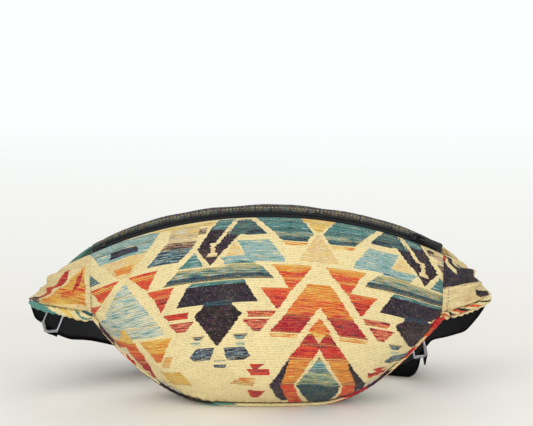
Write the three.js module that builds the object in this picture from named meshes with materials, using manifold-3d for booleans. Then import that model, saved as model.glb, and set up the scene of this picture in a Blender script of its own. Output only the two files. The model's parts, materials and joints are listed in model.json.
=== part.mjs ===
// A waist bag in patterned cloth: a stuffed half moon body between two tapered wings,
// a curved zip along the top, and a webbing strap with adjusters and a release buckle.
// Millimetres. X runs along the bag, -Y is its front, +Z is up, and the origin lies on
// the surface the bag stands on, under the middle of its belly.

import * as THREE from "three";
import { mergeVertices } from "three/addons/utils/BufferGeometryUtils.js";
import Module from "manifold-3d";

const wasm = await Module();
wasm.setup();

// Clearances
const seamGap = 0.35;
const layerGap = 0.35;
const runGap = 0.4;
const floorGap = 0.1;

// Body
const bodyHalfWidth = 151;
const zipApexHeight = 163;
const zipApexY = -8;
const frontBulge = 46;
const backBulge = 42;
const endDepthShare = 0.26;
const endSetBack = 13;
const bellyHalfFlat = 45;
const seamRise = 68;
const seamRisePower = 1.85;
const bellySeamY = -27;
const bellySeamLift = 3.9;
const bellyUnderReach = 1.5;
const bellyUnderDrop = 26;
const topFoldReach = 25;
const topFoldRise = 7;

// Cloth
const clothThickness = 1.6;
const liningThickness = 0.8;
const liningSlack = 1;
const liningEndTrim = 4;
const liningEdgeTrim = 0.03;
const tapeThickness = 0.6;
const weltRadius = 1.5;
const hemRadius = 2.6;

// Zip
const zipRadius = 288;
const zipTiltDegrees = 30;
const tapeSewnWidth = 9;
const zipOpeningHalf = 5.2;
const toothRowInner = 0.9;
const toothRowWidth = 2.4;
const toothRowHeight = 1.7;
const stopLength = 2.4;
const topStopX = 134;
const bottomStopX = -139;

// Slider and pull
const sliderLength = 11;
const sliderWidth = 8.6;
const sliderPlate = 1.2;
const sliderNeckWidth = 1;
const sliderNeckLength = 3;
const sliderFlange = 0.8;
const bailHeight = 3.8;
const bailLength = 7.4;
const bailWire = 1.3;
const pullBarDiameter = 1.3;
const pullLength = 24;
const pullWidth = 5.6;
const pullWindowLength = 6.2;

// Webbing
const webbingWidth = 38;
const webbingThickness = 1.4;

// Strap adjusters, bent from wire
const glideWire = 2.2;
const glideHalfLength = 7.5;
const glideLift = 0.6;
const glideSideClearance = 1;

// Buckle
const buckleLength = 46;
const buckleWidth = 48;
const buckleThickness = 11;
const buckleWall = 2.2;
const buckleMouthDepth = 31;
const buckleBarDiameter = 4;
const buckleSlot = 5.2;
const buckleY = 92;
const buckleMouthSet = 12;
const prongWidth = 6.5;
const prongThickness = 5.4;
const guideWidth = 5;
const malePlateLength = 16;
const prongReach = 17;

const xAxis = new THREE.Vector3(1, 0, 0);
const lerp = THREE.MathUtils.lerp;

function vec(x, y, z) {
  return new THREE.Vector3(x, y, z);
}

// Directions of the zip: its arc lies in a tilted plane, so a turn about the arc's
// centre carries the slider from one end to the other.
const zipTilt = THREE.MathUtils.degToRad(zipTiltDegrees);
const zipOutward = vec(0, -Math.sin(zipTilt), Math.cos(zipTilt));
const zipAcross = vec(0, Math.cos(zipTilt), Math.sin(zipTilt));
const zipApex = vec(0, zipApexY, zipApexHeight);
const zipCentre = zipApex.clone().addScaledVector(zipOutward, -zipRadius);

function zipPoint(angle, across, lift) {
  return zipCentre.clone()
    .addScaledVector(zipOutward, (zipRadius + lift) * Math.cos(angle))
    .addScaledVector(xAxis, (zipRadius + lift) * Math.sin(angle))
    .addScaledVector(zipAcross, across);
}

function zipAngle(x) {
  return Math.asin(x / zipRadius);
}

// Builds one closed body from rings or grids of points, with its faces pointing out.
function closedBody(points, index) {
  const positions = new Float32Array(points.length * 3);
  points.forEach((point, i) => point.toArray(positions, i * 3));
  let volume = 0;
  for (let i = 0; i < index.length; i += 3) {
    const [a, b, c] = [points[index[i]], points[index[i + 1]], points[index[i + 2]]];
    volume += a.dot(b.clone().cross(c));
  }
  const faces = volume < 0 ? index.slice().reverse() : index;
  const geometry = new THREE.BufferGeometry();
  geometry.setAttribute("position", new THREE.BufferAttribute(positions, 3));
  geometry.setIndex(faces);
  return geometry;
}

// Sweeps a ring of points along a list of stations and caps both ends.
function loft(rings) {
  const sides = rings[0].length;
  const points = rings.flat();
  const index = [];
  for (let i = 0; i < rings.length - 1; i += 1) {
    for (let j = 0; j < sides; j += 1) {
      const a = i * sides + j;
      const b = i * sides + ((j + 1) % sides);
      index.push(a, b, b + sides, a, b + sides, a + sides);
    }
  }
  const last = (rings.length - 1) * sides;
  for (let j = 1; j < sides - 1; j += 1) {
    index.push(0, j + 1, j);
    index.push(last, last + j, last + j + 1);
  }
  return closedBody(points, index);
}

// A sheet of cloth: an outer and an inner surface, each a function of u and v from
// 0 to 1, joined along their four edges.
function sheet(outer, inner, columns, rows) {
  const points = [];
  for (const surface of [outer, inner]) {
    for (let i = 0; i <= columns; i += 1) {
      for (let j = 0; j <= rows; j += 1) {
        points.push(surface(i / columns, j / rows));
      }
    }
  }
  const stride = rows + 1;
  const layer = (columns + 1) * stride;
  const index = [];
  const quad = (a, b, c, d) => index.push(a, b, c, a, c, d);
  for (let i = 0; i < columns; i += 1) {
    for (let j = 0; j < rows; j += 1) {
      const a = i * stride + j;
      quad(a, a + stride, a + stride + 1, a + 1);
      quad(layer + a, layer + a + 1, layer + a + stride + 1, layer + a + stride);
    }
  }
  for (let i = 0; i < columns; i += 1) {
    const low = i * stride;
    const high = low + rows;
    quad(low, layer + low, layer + low + stride, low + stride);
    quad(high, high + stride, layer + high + stride, layer + high);
  }
  for (let j = 0; j < rows; j += 1) {
    const far = columns * stride + j;
    quad(j, j + 1, layer + j + 1, layer + j);
    quad(far, layer + far, layer + far + 1, far + 1);
  }
  return closedBody(points, index);
}

function solid(geometry) {
  const bare = geometry.clone();
  bare.deleteAttribute("normal");
  bare.deleteAttribute("uv");
  const merged = mergeVertices(bare);
  return new wasm.Manifold(new wasm.Mesh({
    numProp: 3,
    vertProperties: merged.attributes.position.array,
    triVerts: Uint32Array.from(merged.index.array),
  }));
}

function geometryOf(body) {
  const mesh = body.getMesh();
  const geometry = new THREE.BufferGeometry();
  geometry.setAttribute("position", new THREE.BufferAttribute(mesh.vertProperties, 3));
  geometry.setIndex(new THREE.BufferAttribute(mesh.triVerts, 1));
  return geometry;
}

function join(...geometries) {
  return geometryOf(geometries.map(solid).reduce((whole, piece) => whole.add(piece)));
}

function cut(geometry, ...tools) {
  return geometryOf(tools.map(solid).reduce((whole, tool) => whole.subtract(tool), solid(geometry)));
}

function block(x0, x1, y0, y1, z0, z1) {
  const geometry = new THREE.BoxGeometry(x1 - x0, y1 - y0, z1 - z0);
  return geometry.translate((x0 + x1) / 2, (y0 + y1) / 2, (z0 + z1) / 2);
}

function rod(radius, length, sides = 16) {
  return new THREE.CylinderGeometry(radius, radius, length, sides);
}

// Body sections. The share runs from 0 in the middle to 1 at each wing seam.
function share(x) {
  return Math.min(1, Math.abs(x) / bodyHalfWidth);
}

function fullness(x) {
  return Math.sqrt(1 - (1 - endDepthShare ** 2) * share(x) ** 2);
}

function setBack(x) {
  return endSetBack * share(x) ** 2;
}

function floorLine(x) {
  const past = Math.max(0, Math.abs(x) - bellyHalfFlat);
  return seamRise * (past / (bodyHalfWidth - bellyHalfFlat)) ** seamRisePower;
}

const panelLift = layerGap + clothThickness;

function panelTop(x, side) {
  const point = zipPoint(zipAngle(x), side * zipOpeningHalf, panelLift);
  return point.setX(x);
}

function bottomSeam(x, side) {
  const y = lerp(bellySeamY, endSetBack, share(x) ** 2);
  return vec(x, y + side * seamGap, floorLine(x) + bellySeamLift);
}

function bezier(a, b, c, d, t) {
  return new THREE.CubicBezierCurve3(a, b, c, d).getPoint(t);
}

function frontSurface(x, v) {
  const top = panelTop(x, -1);
  const seam = bottomSeam(x, -1);
  const full = fullness(x);
  const shoulder = top.clone().addScaledVector(zipAcross, -(6 + frontBulge * full));
  const belly = seam.clone().add(vec(0, -0.92, 0.36).multiplyScalar(4 + frontBulge * full));
  return bezier(top, shoulder, belly, seam, v);
}

function backSurface(x, v) {
  const top = panelTop(x, 1);
  const seam = bottomSeam(x, 1);
  const full = fullness(x);
  const middleHeight = lerp(seam.z, top.z, 0.52);
  const middle = vec(x, setBack(x) + backBulge * full, middleHeight);
  const split = 0.5;
  if (v < split) {
    const fold = top.clone().add(vec(0, topFoldReach * full, topFoldRise * full));
    const shoulder = middle.clone().add(vec(0, 2, (top.z - middleHeight) * 0.72));
    return bezier(top, fold, shoulder, middle, v / split);
  }
  const hip = middle.clone().add(vec(0, -2, -(middleHeight - seam.z) * 0.62));
  const under = vec(
    x, seam.y + backBulge * full * bellyUnderReach, seam.z - bellyUnderDrop * full,
  );
  const point = bezier(middle, hip, under, seam, (v - split) / (1 - split));
  point.z = Math.max(point.z, floorLine(x));
  return point;
}

function sectionCentre(x) {
  const top = zipPoint(zipAngle(x), 0, 0);
  return vec(x, setBack(x) - 4 * fullness(x), (top.z + floorLine(x)) / 2);
}

// The same surface, sunk into the bag by a depth.
function sunk(surface, depth) {
  return (x, v) => {
    const point = surface(x, v);
    const inward = sectionCentre(x).sub(point).normalize();
    return point.addScaledVector(inward, depth);
  };
}

const tapeDepth = clothThickness + layerGap;
const liningDepth = tapeDepth + tapeThickness + layerGap + liningSlack;
const panelColumns = 40;
const frontRows = 13;
const backRows = 16;

function panel(surface) {
  const reach = bodyHalfWidth - seamGap;
  const at = (deep) => (u, v) => sunk(surface, deep)(lerp(-reach, reach, u), v);
  const rows = surface === frontSurface ? frontRows : backRows;
  return sheet(at(0), at(clothThickness), panelColumns, rows);
}

// The lining stops short of the zip, the bottom seam and the wing seams.
function lining(surface, rows) {
  const reach = bodyHalfWidth - liningEndTrim;
  const at = (deep) => (u, v) => {
    const across = lerp(liningEdgeTrim, 1 - liningEdgeTrim, v);
    return sunk(surface, deep)(lerp(-reach, reach, u), across);
  };
  return sheet(at(liningDepth), at(liningDepth + liningThickness), 20, rows);
}


const tapeInner = toothRowInner + 0.6;

// Zip tape: flat beside the teeth, then sewn under the edge of its panel.
function zipTape(side, surface, panelRows) {
  const reach = bodyHalfWidth - seamGap;
  const rows = 2;
  const at = (deep) => (u, v) => {
    const x = lerp(-reach, reach, u);
    const row = Math.round(v * rows);
    if (row === 0) {
      return zipPoint(zipAngle(x), side * tapeInner, -deep);
    }
    const edge = sunk(surface, tapeDepth + deep)(x, 0);
    const next = sunk(surface, tapeDepth + deep)(x, 1 / panelRows);
    const along = Math.min(0.9, tapeSewnWidth / edge.distanceTo(next));
    return row === 1 ? edge : edge.lerp(next, along);
  };
  return sheet(at(0), at(tapeThickness), panelColumns, rows);
}

function arcBar(fromX, toX, acrossInner, acrossOuter, liftLow, liftHigh, steps) {
  const rings = [];
  for (let i = 0; i <= steps; i += 1) {
    const angle = lerp(zipAngle(fromX), zipAngle(toX), i / steps);
    rings.push([
      zipPoint(angle, acrossInner, liftLow),
      zipPoint(angle, acrossOuter, liftLow),
      zipPoint(angle, acrossOuter, liftHigh),
      zipPoint(angle, acrossInner, liftHigh),
    ]);
  }
  return loft(rings);
}

// A row of coil teeth: a half round bead along the tape's inner edge.
function toothRow(side) {
  const rings = [];
  const steps = 44;
  const from = zipAngle(bottomStopX + stopLength + seamGap);
  const to = zipAngle(topStopX - stopLength - seamGap);
  const profile = [[0, 0], [0, 0.6], [0.2, 0.95], [0.6, 1], [0.95, 0.6], [1, 0]];
  for (let i = 0; i <= steps; i += 1) {
    const angle = lerp(from, to, i / steps);
    rings.push(profile.map(([across, lift]) => zipPoint(
      angle,
      side * (toothRowInner + across * toothRowWidth),
      layerGap + lift * toothRowHeight,
    )));
  }
  return loft(rings);
}

function zipStop(nearX, side) {
  const low = layerGap;
  const high = layerGap + toothRowHeight + 0.2;
  const inner = side === 0 ? -(toothRowInner + toothRowWidth) : side * toothRowInner;
  const outer = side === 0 ? toothRowInner + toothRowWidth : side * (toothRowInner + toothRowWidth);
  return arcBar(nearX, nearX + Math.sign(-nearX) * stopLength, inner, outer, low, high, 2);
}

// Slider, in its own frame: X along the zip, Y across it, Z out of the bag.
const sliderTopLow = layerGap + toothRowHeight + runGap;
const sliderTopHigh = sliderTopLow + sliderPlate;
const sliderBottomHigh = -tapeThickness - runGap;

function sliderOutline() {
  const half = sliderWidth / 2;
  const shape = new THREE.Shape();
  shape.moveTo(-sliderLength / 2, -half * 0.7);
  shape.lineTo(-sliderLength / 2 + 1.2, -half * 0.86);
  shape.lineTo(sliderLength / 2 - 3, -half);
  shape.quadraticCurveTo(sliderLength / 2, -half, sliderLength / 2, -half * 0.45);
  shape.lineTo(sliderLength / 2 - 1.6, 0);
  shape.lineTo(sliderLength / 2, half * 0.45);
  shape.quadraticCurveTo(sliderLength / 2, half, sliderLength / 2 - 3, half);
  shape.lineTo(-sliderLength / 2 + 1.2, half * 0.86);
  shape.lineTo(-sliderLength / 2, half * 0.7);
  shape.closePath();
  return shape;
}

function extrude(shape, depth, curveSegments = 6) {
  return new THREE.ExtrudeGeometry(shape, { depth, bevelEnabled: false, curveSegments });
}

function sliderBody() {
  const top = extrude(sliderOutline(), sliderPlate, 4).translate(0, 0, sliderTopLow);
  const bottom = extrude(sliderOutline(), sliderPlate, 4)
    .translate(0, 0, sliderBottomHigh - sliderPlate);
  const neck = block(
    sliderLength / 2 - 1.8 - sliderNeckLength, sliderLength / 2 - 1.8,
    -sliderNeckWidth / 2, sliderNeckWidth / 2,
    sliderBottomHigh - sliderPlate / 2, sliderTopLow + sliderPlate / 2,
  );
  const flangeInner = toothRowInner + toothRowWidth + 0.25;
  const flanges = [-1, 1].map((side) => block(
    -sliderLength / 2 + 2, sliderLength / 2 - 3,
    Math.min(side * flangeInner, side * (flangeInner + sliderFlange)),
    Math.max(side * flangeInner, side * (flangeInner + sliderFlange)),
    layerGap + 0.3, sliderTopLow + sliderPlate / 2,
  ));
  return join(top, bottom, neck, ...flanges, bail());
}

// The bail is a low arch along the slider. The pull's bar runs through it.
function bail() {
  const half = bailLength / 2;
  const arch = new THREE.Shape();
  arch.moveTo(-half, -0.4);
  arch.lineTo(-half, bailHeight * 0.55);
  arch.quadraticCurveTo(-half, bailHeight, -half + 2, bailHeight);
  arch.lineTo(half - 2, bailHeight);
  arch.quadraticCurveTo(half, bailHeight, half, bailHeight * 0.55);
  arch.lineTo(half, -0.4);
  arch.closePath();
  const open = new THREE.Path();
  open.moveTo(-half + bailWire, 0.01);
  open.lineTo(half - bailWire, 0.01);
  open.lineTo(half - bailWire, bailHeight * 0.5);
  open.quadraticCurveTo(
    half - bailWire, bailHeight - bailWire, half - bailWire - 1.4, bailHeight - bailWire,
  );
  open.lineTo(-half + bailWire + 1.4, bailHeight - bailWire);
  open.quadraticCurveTo(-half + bailWire, bailHeight - bailWire, -half + bailWire, bailHeight * 0.5);
  open.closePath();
  arch.holes.push(open);
  return extrude(arch, bailWire, 3)
    .translate(0, 0, -bailWire / 2)
    .rotateX(Math.PI / 2)
    .translate(0, 0, sliderTopHigh);
}

// The pull, in the slider's frame, with its bar on the hinge line.
const pullBarX = bailLength / 2 - bailWire - pullBarDiameter / 2 - runGap;
const pullBarLift = sliderTopHigh + pullBarDiameter / 2 + runGap;

function pullTab() {
  const half = pullWidth / 2;
  const end = pullLength;
  const outline = new THREE.Shape();
  outline.moveTo(-pullBarDiameter / 2, -half);
  outline.lineTo(end - half, -half * 0.8);
  outline.absarc(end - half * 0.8, 0, half * 0.8, -Math.PI / 2, Math.PI / 2, false);
  outline.lineTo(-pullBarDiameter / 2, half);
  outline.closePath();
  const window = new THREE.Path();
  const rim = 1.3;
  window.moveTo(pullBarDiameter / 2, -half + rim);
  window.lineTo(pullWindowLength, -half + rim);
  window.lineTo(pullWindowLength, half - rim);
  window.lineTo(pullBarDiameter / 2, half - rim);
  window.closePath();
  outline.holes.push(window);
  return extrude(outline, pullBarDiameter, 8).translate(0, 0, -pullBarDiameter / 2);
}

// Places a slider piece on the zip's arc, at a distance along X.
function onZip(geometry, x) {
  const angle = zipAngle(x);
  const outward = zipOutward.clone()
    .multiplyScalar(Math.cos(angle))
    .addScaledVector(xAxis, Math.sin(angle));
  const along = new THREE.Vector3().crossVectors(zipAcross, outward);
  const place = new THREE.Matrix4().makeBasis(along, zipAcross, outward);
  place.setPosition(zipPoint(angle, 0, 0));
  return geometry.applyMatrix4(place);
}

const sliderX = topStopX - stopLength - sliderLength / 2 - seamGap - 0.3;

// Wings. Each runs from its seam to a slanted end, where the webbing is sewn in.
// The lower end of that edge is the tip seen from the front; the upper end lies behind.
const wings = {
  left: { side: -1, tipReach: 56, tipY: 38, tipHeight: 76, endReach: 38, endY: 72, endHeight: 88 },
  right: { side: 1, tipReach: 45, tipY: 40, tipHeight: 80, endReach: 27, endY: 74, endHeight: 96 },
};
const wingCrown = 5;
const wingEndGap = webbingThickness + 2 * layerGap;

function wingEdge(wing, v) {
  const upper = vec(wing.side * (bodyHalfWidth + wing.endReach), wing.endY, wing.endHeight);
  const lower = vec(wing.side * (bodyHalfWidth + wing.tipReach), wing.tipY, wing.tipHeight);
  return upper.lerp(lower, v);
}

// Direction in which the wing's end faces out of the wing's thickness.
function wingOut(wing) {
  const edge = wingEdge(wing, 1).sub(wingEdge(wing, 0)).normalize();
  const heading = vec(wing.side * 0.86, 0.12, -0.5);
  return heading.cross(edge).multiplyScalar(-wing.side).normalize();
}

function wingSurface(wing, face) {
  const surface = face < 0 ? frontSurface : backSurface;
  return (u, v) => {
    const x = wing.side * (bodyHalfWidth + seamGap);
    const start = surface(wing.side * bodyHalfWidth, v);
    start.x = x;
    const out = wingOut(wing);
    const end = wingEdge(wing, v).addScaledVector(out, -face * (wingEndGap / 2 + clothThickness));
    const reach = start.distanceTo(end);
    const puff = out.clone().multiplyScalar(-face * wingCrown * 4 * v * (1 - v));
    const leave = start.clone().lerp(end, 0.3).add(puff).add(vec(wing.side * reach * 0.08, 0, 0));
    const arrive = start.clone().lerp(end, 0.75).add(puff)
      .add(vec(wing.side * reach * 0.1, -reach * 0.1, 0));
    return bezier(start, leave, arrive, end, u);
  };
}

function wingMiddle(wing) {
  return (u) => {
    const a = wingSurface(wing, -1)(u, 0.5);
    const b = wingSurface(wing, 1)(u, 0.5);
    return a.add(b).multiplyScalar(0.5);
  };
}

function wingLayer(wing, face) {
  const surface = wingSurface(wing, face);
  const middle = wingMiddle(wing);
  const out = wingOut(wing);
  const at = (depth) => (u, v) => {
    const point = surface(u, v);
    const toMiddle = middle(u).sub(point);
    toMiddle.x *= u;
    toMiddle.normalize();
    const toInside = out.clone().multiplyScalar(face);
    const inward = toMiddle.lerp(toInside, u ** 0.7).normalize();
    return point.addScaledVector(inward, depth);
  };
  return sheet(at(0), at(clothThickness), 10, 9);
}

// Welts and hems: round cords of folded cloth along an edge.
function roll(path, radius, steps, sides = 8) {
  const places = Array.from({ length: steps + 1 }, (_, i) => path(i / steps));
  const rings = places.map((place, i) => {
    const before = places[Math.max(0, i - 1)];
    const after = places[Math.min(steps, i + 1)];
    const along = after.clone().sub(before).normalize();
    const side = new THREE.Vector3().crossVectors(along, vec(0, 0, 1)).normalize();
    const up = new THREE.Vector3().crossVectors(side, along);
    return Array.from({ length: sides }, (_, k) => {
      const turn = (k / sides) * 2 * Math.PI;
      return place.clone()
        .addScaledVector(side, radius * Math.cos(turn))
        .addScaledVector(up, radius * Math.sin(turn));
    });
  });
  return loft(rings);
}

function weltPath(u) {
  const reach = bodyHalfWidth - weltRadius;
  const x = lerp(-reach, reach, u);
  const seam = bottomSeam(x, 0);
  const along = bottomSeam(x + 1, 0).sub(bottomSeam(x - 1, 0)).normalize();
  const down = vec(0, -0.22, -0.97).projectOnPlane(along).normalize();
  return seam.addScaledVector(down, weltRadius + 2 * seamGap);
}

function hemPath(wing) {
  return (u) => {
    const along = lerp(0.02, 0.95, u);
    const front = wingSurface(wing, -1)(along, 1);
    const back = wingSurface(wing, 1)(along, 1);
    const edge = front.add(back).multiplyScalar(0.5);
    const outward = edge.clone().sub(wingMiddle(wing)(along)).setX(0).normalize();
    return edge.addScaledVector(outward, hemRadius + 4 * layerGap);
  };
}

// A band of webbing. Each stop has a place on its middle line and the direction of its
// width.
function band(stops) {
  const rings = stops.map((stop, i) => {
    const before = stops[Math.max(0, i - 1)].place;
    const after = stops[Math.min(stops.length - 1, i + 1)].place;
    const along = after.clone().sub(before).normalize();
    const out = new THREE.Vector3().crossVectors(along, stop.across).normalize();
    return [[-1, -1], [1, -1], [1, 1], [-1, 1]].map(([side, face]) => stop.place.clone()
      .addScaledVector(stop.across, (side * webbingWidth) / 2)
      .addScaledVector(out, (face * webbingThickness) / 2));
  });
  return loft(rings);
}

// The strap's route on each side, as distance past the end of the body, depth and height.
// It leaves the wing, turns under it and runs down to the buckle behind the bag.
const straps = {
  left: {
    wing: wings.left,
    bend: [[50.5, 56.5, 79], [52.5, 58, 71]],
    run: [
      [52, 59, 63.3], [45.3, 59.7, 58.3], [37.7, 60.3, 52.7], [30, 61, 47],
      [7, 66, 42], [-27, 74, 30], [-63, 84, 16],
    ],
    glideAt: 0.075,
    back: [],
    approach: [[8, 0]],
    tail: [[3, -4.6], [7, -2.6], [11, -2.1]],
  },
  right: {
    wing: wings.right,
    bend: [[38.5, 58, 83], [34, 60, 66]],
    run: [
      [25, 61, 52], [10, 63, 46], [-3, 66, 41], [-8.7, 67.5, 33],
      [-14.3, 69, 25], [-20, 70.5, 17], [-39, 78, 10], [-71, 87, 9.5],
    ],
    glideAt: 0.268,
    back: [[50, 2.1], [75, 1.2], [98, 1.1], [112, 2]],
    approach: [[26, -5.5], [18, -6], [10, -3], [5, -0.4]],
    tail: [[3, -5.4], [6, -7], [9, -8.6]],
  },
};

const barHeight = buckleThickness / 2;
const barWrap = buckleBarDiameter / 2 + layerGap + webbingThickness / 2;
const glideWrap = glideWire / 2 + layerGap + webbingThickness / 2;
const returnDrop = webbingThickness + layerGap;
const glideBarDrop = returnDrop + glideWrap;
const glideEndLift = webbingThickness / 2 + glideLift + glideWire / 2;
const femaleBarX = buckleLength - buckleMouthSet - buckleBarDiameter / 2;
const maleBarX = buckleMouthSet + layerGap + malePlateLength - buckleBarDiameter / 2;

function strapSide(strap) {
  return strap.wing.side;
}

function strapBarX(strap) {
  return strapSide(strap) < 0 ? -femaleBarX : maleBarX;
}

// Stops inside the wing's end, between its two layers.
function sewnStops(strap) {
  const surfaces = [-1, 1].map((face) => wingSurface(strap.wing, face));
  const middle = (u, v) => surfaces[0](u, v).add(surfaces[1](u, v)).multiplyScalar(0.5);
  return [0.97, 1].map((u) => ({
    place: middle(u, 0.5),
    across: middle(u, 0).sub(middle(u, 1)).normalize(),
  }));
}

function runCurve(strap) {
  const side = strapSide(strap);
  const barX = strapBarX(strap);
  const places = strap.run.map(([past, y, z]) => vec(side * (bodyHalfWidth + past), y, z));
  const top = barHeight + barWrap;
  places.push(vec(barX + side * 12, buckleY, top), vec(barX, buckleY, top));
  return new THREE.CatmullRomCurve3(places, false, "centripetal");
}

function acrossOnRun(share) {
  return vec(0, 1, 0).lerp(vec(0, 0.96, 0.28), Math.max(0, 1 - share * 2)).normalize();
}

function smoothRun(strap) {
  const curve = runCurve(strap);
  const steps = 30;
  return Array.from({ length: steps + 1 }, (_, i) => ({
    place: curve.getPointAt(i / steps),
    across: acrossOnRun(i / steps).projectOnPlane(curve.getTangentAt(i / steps)).normalize(),
  }));
}

// Keeps both edges of a stop above the floor.
function onFloor(stop) {
  const lowest = webbingThickness / 2 + floorGap + (Math.abs(stop.across.z) * webbingWidth) / 2;
  stop.place.z = Math.max(stop.place.z, lowest);
  return stop;
}

// The layer that goes back from the buckle's bar to the adjuster. Without a route of its
// own it lies under the run; with one it hangs in a loop and lies on the floor.
function returnStops(strap, frame, run) {
  const side = strapSide(strap);
  const near = strap.approach.map(([along, up]) => inGlideFrame(frame, along, up - returnDrop));
  if (strap.back.length === 0) {
    const first = run.findIndex((stop) => stop.place.distanceTo(frame.place) < 10);
    const under = run.slice(first + 4, -1).reverse().map((stop, i) => {
      const ease = Math.min(1, i / 9);
      const drop = lerp(2 * barWrap, returnDrop + 0.2, ease * ease * (3 - 2 * ease));
      const place = stop.place.clone().setZ(stop.place.z - drop);
      return onFloor({ place, across: stop.across });
    });
    return [...under, { place: near[near.length - 1], across: frame.width }];
  }
  const places = [
    vec(strapBarX(strap), buckleY, barHeight - barWrap),
    ...strap.back.map(([x, z]) => vec(side * x, depthOnRun(run, side * x), z)),
    ...near,
    inGlideFrame(frame, 0, -returnDrop),
  ];
  const curve = new THREE.CatmullRomCurve3(places, false, "centripetal");
  const steps = 36;
  return Array.from({ length: steps - 1 }, (_, i) => {
    const across = vec(0, 1, 0).lerp(frame.width, (i + 1) / steps).normalize();
    return onFloor({ place: curve.getPointAt((i + 1) / steps), across });
  });
}

function depthOnRun(run, x) {
  const nearest = run.reduce((best, stop) => (
    Math.abs(stop.place.x - x) < Math.abs(best.place.x - x) ? stop : best
  ));
  return nearest.place.y;
}

// Joins the sewn end to the run by a smooth turn.
function turnStops(strap, sewn, run) {
  const side = strapSide(strap);
  const end = sewn[sewn.length - 1];
  const places = [
    sewn[0].place, end.place,
    ...strap.bend.map(([past, y, z]) => vec(side * (bodyHalfWidth + past), y, z)),
    run[0].place, run[1].place,
  ];
  const curve = new THREE.CatmullRomCurve3(places, false, "centripetal");
  const steps = 20;
  const stops = [];
  for (let i = 1; i < steps; i += 1) {
    const t = i / steps;
    const parameter = lerp(1 / 5, 4 / 5, t);
    stops.push({
      place: curve.getPoint(parameter),
      across: end.across.clone().lerp(run[0].across, t * t * (3 - 2 * t)).normalize(),
    });
  }
  return stops;
}

// A frame on the strap: along it towards the buckle, across it, and up out of it.
function glideFrame(strap) {
  const curve = runCurve(strap);
  const place = curve.getPointAt(strap.glideAt);
  const along = curve.getTangentAt(strap.glideAt);
  const width = acrossOnRun(strap.glideAt).projectOnPlane(along).normalize();
  const up = new THREE.Vector3().crossVectors(along, width).normalize();
  if (up.z < 0) {
    up.negate();
  }
  const across = new THREE.Vector3().crossVectors(up, along);
  return { place, along, across, up, width };
}

function inGlideFrame(frame, along, up) {
  return frame.place.clone().addScaledVector(frame.along, along).addScaledVector(frame.up, up);
}

// Stops round a bar, from one angle to another.
function wrap(centre, along, up, across, radius, from, to, steps) {
  return Array.from({ length: steps + 1 }, (_, i) => {
    const turn = lerp(from, to, i / steps);
    return {
      place: centre.clone()
        .addScaledVector(along, radius * Math.cos(turn))
        .addScaledVector(up, radius * Math.sin(turn)),
      across,
    };
  });
}

// The whole piece of webbing on one side: sewn end, turn, run, round the buckle's bar,
// back underneath and round the adjuster's middle bar.
function strapBand(strap) {
  const side = strapSide(strap);
  const sewn = sewnStops(strap);
  const run = smoothRun(strap);
  const turn = turnStops(strap, sewn, run);
  const bar = vec(strapBarX(strap), buckleY, barHeight);
  const inward = vec(-side, 0, 0);
  const level = vec(0, 0, 1);
  const roundBar = wrap(bar, inward, level, vec(0, 1, 0), barWrap, Math.PI / 2, -Math.PI / 2, 10);
  const frame = glideFrame(strap);
  const glideBar = inGlideFrame(frame, 0, -glideBarDrop);
  const back = returnStops(strap, frame, run);
  const roundGlide = wrap(
    glideBar, frame.along, frame.up, frame.width, glideWrap, Math.PI / 2, Math.PI * 1.5, 10,
  );
  const tail = strap.tail.map(([along, up]) => ({
    place: inGlideFrame(frame, along, up - returnDrop),
    across: frame.width,
  }));
  return band([
    ...sewn, ...turn, ...run.slice(0, -1), ...roundBar, ...back, ...roundGlide, ...tail,
  ]);
}

// Adjuster: two end bars over the strap and a middle bar under it, between bent sides.
function glide(strap) {
  const inner = webbingWidth / 2 + glideSideClearance;
  const outer = inner + glideWire;
  const radius = glideWire / 2;
  const ends = [-1, 1].map((end) => (
    rod(radius, 2 * outer, 12).translate(end * glideHalfLength, 0, glideEndLift)
  ));
  const middle = rod(radius, 2 * outer - glideWire, 12).translate(0, 0, -glideBarDrop);
  const profile = new THREE.Shape();
  const reach = glideHalfLength + radius;
  const low = -glideBarDrop - radius;
  const high = glideEndLift + radius;
  profile.moveTo(-reach, glideEndLift + radius * 0.4);
  profile.lineTo(-reach, glideEndLift - radius * 0.7);
  profile.lineTo(-radius, low);
  profile.lineTo(radius, low);
  profile.lineTo(reach, glideEndLift - radius * 0.7);
  profile.lineTo(reach, glideEndLift + radius * 0.4);
  profile.lineTo(glideHalfLength, high);
  profile.lineTo(glideHalfLength - radius, high - 0.4);
  profile.lineTo(0, low + glideWire);
  profile.lineTo(-glideHalfLength + radius, high - 0.4);
  profile.lineTo(-glideHalfLength, high);
  profile.closePath();
  const sides = [-1, 1].map((side) => extrude(profile, glideWire)
    .rotateX(Math.PI / 2)
    .translate(0, side > 0 ? outer : -inner, 0));
  const frame = glideFrame(strap);
  const place = new THREE.Matrix4().makeBasis(frame.along, frame.across, frame.up);
  place.setPosition(frame.place);
  return join(...ends, middle, ...sides).applyMatrix4(place);
}

// Buckle, lying flat behind the bag with its mouth towards +X.
const buckleHalf = buckleWidth / 2;
const armInner = webbingWidth / 2 + 1.5;

function buckleBar(x) {
  return rod(buckleBarDiameter / 2, 2 * buckleHalf - 1, 16).translate(x, 0, barHeight);
}

function buckleArms(fromX, toX) {
  return [-1, 1].map((side) => block(
    fromX, toX,
    side > 0 ? armInner : -buckleHalf, side > 0 ? buckleHalf : -armInner,
    buckleThickness * 0.16, buckleThickness * 0.84,
  ));
}

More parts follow.
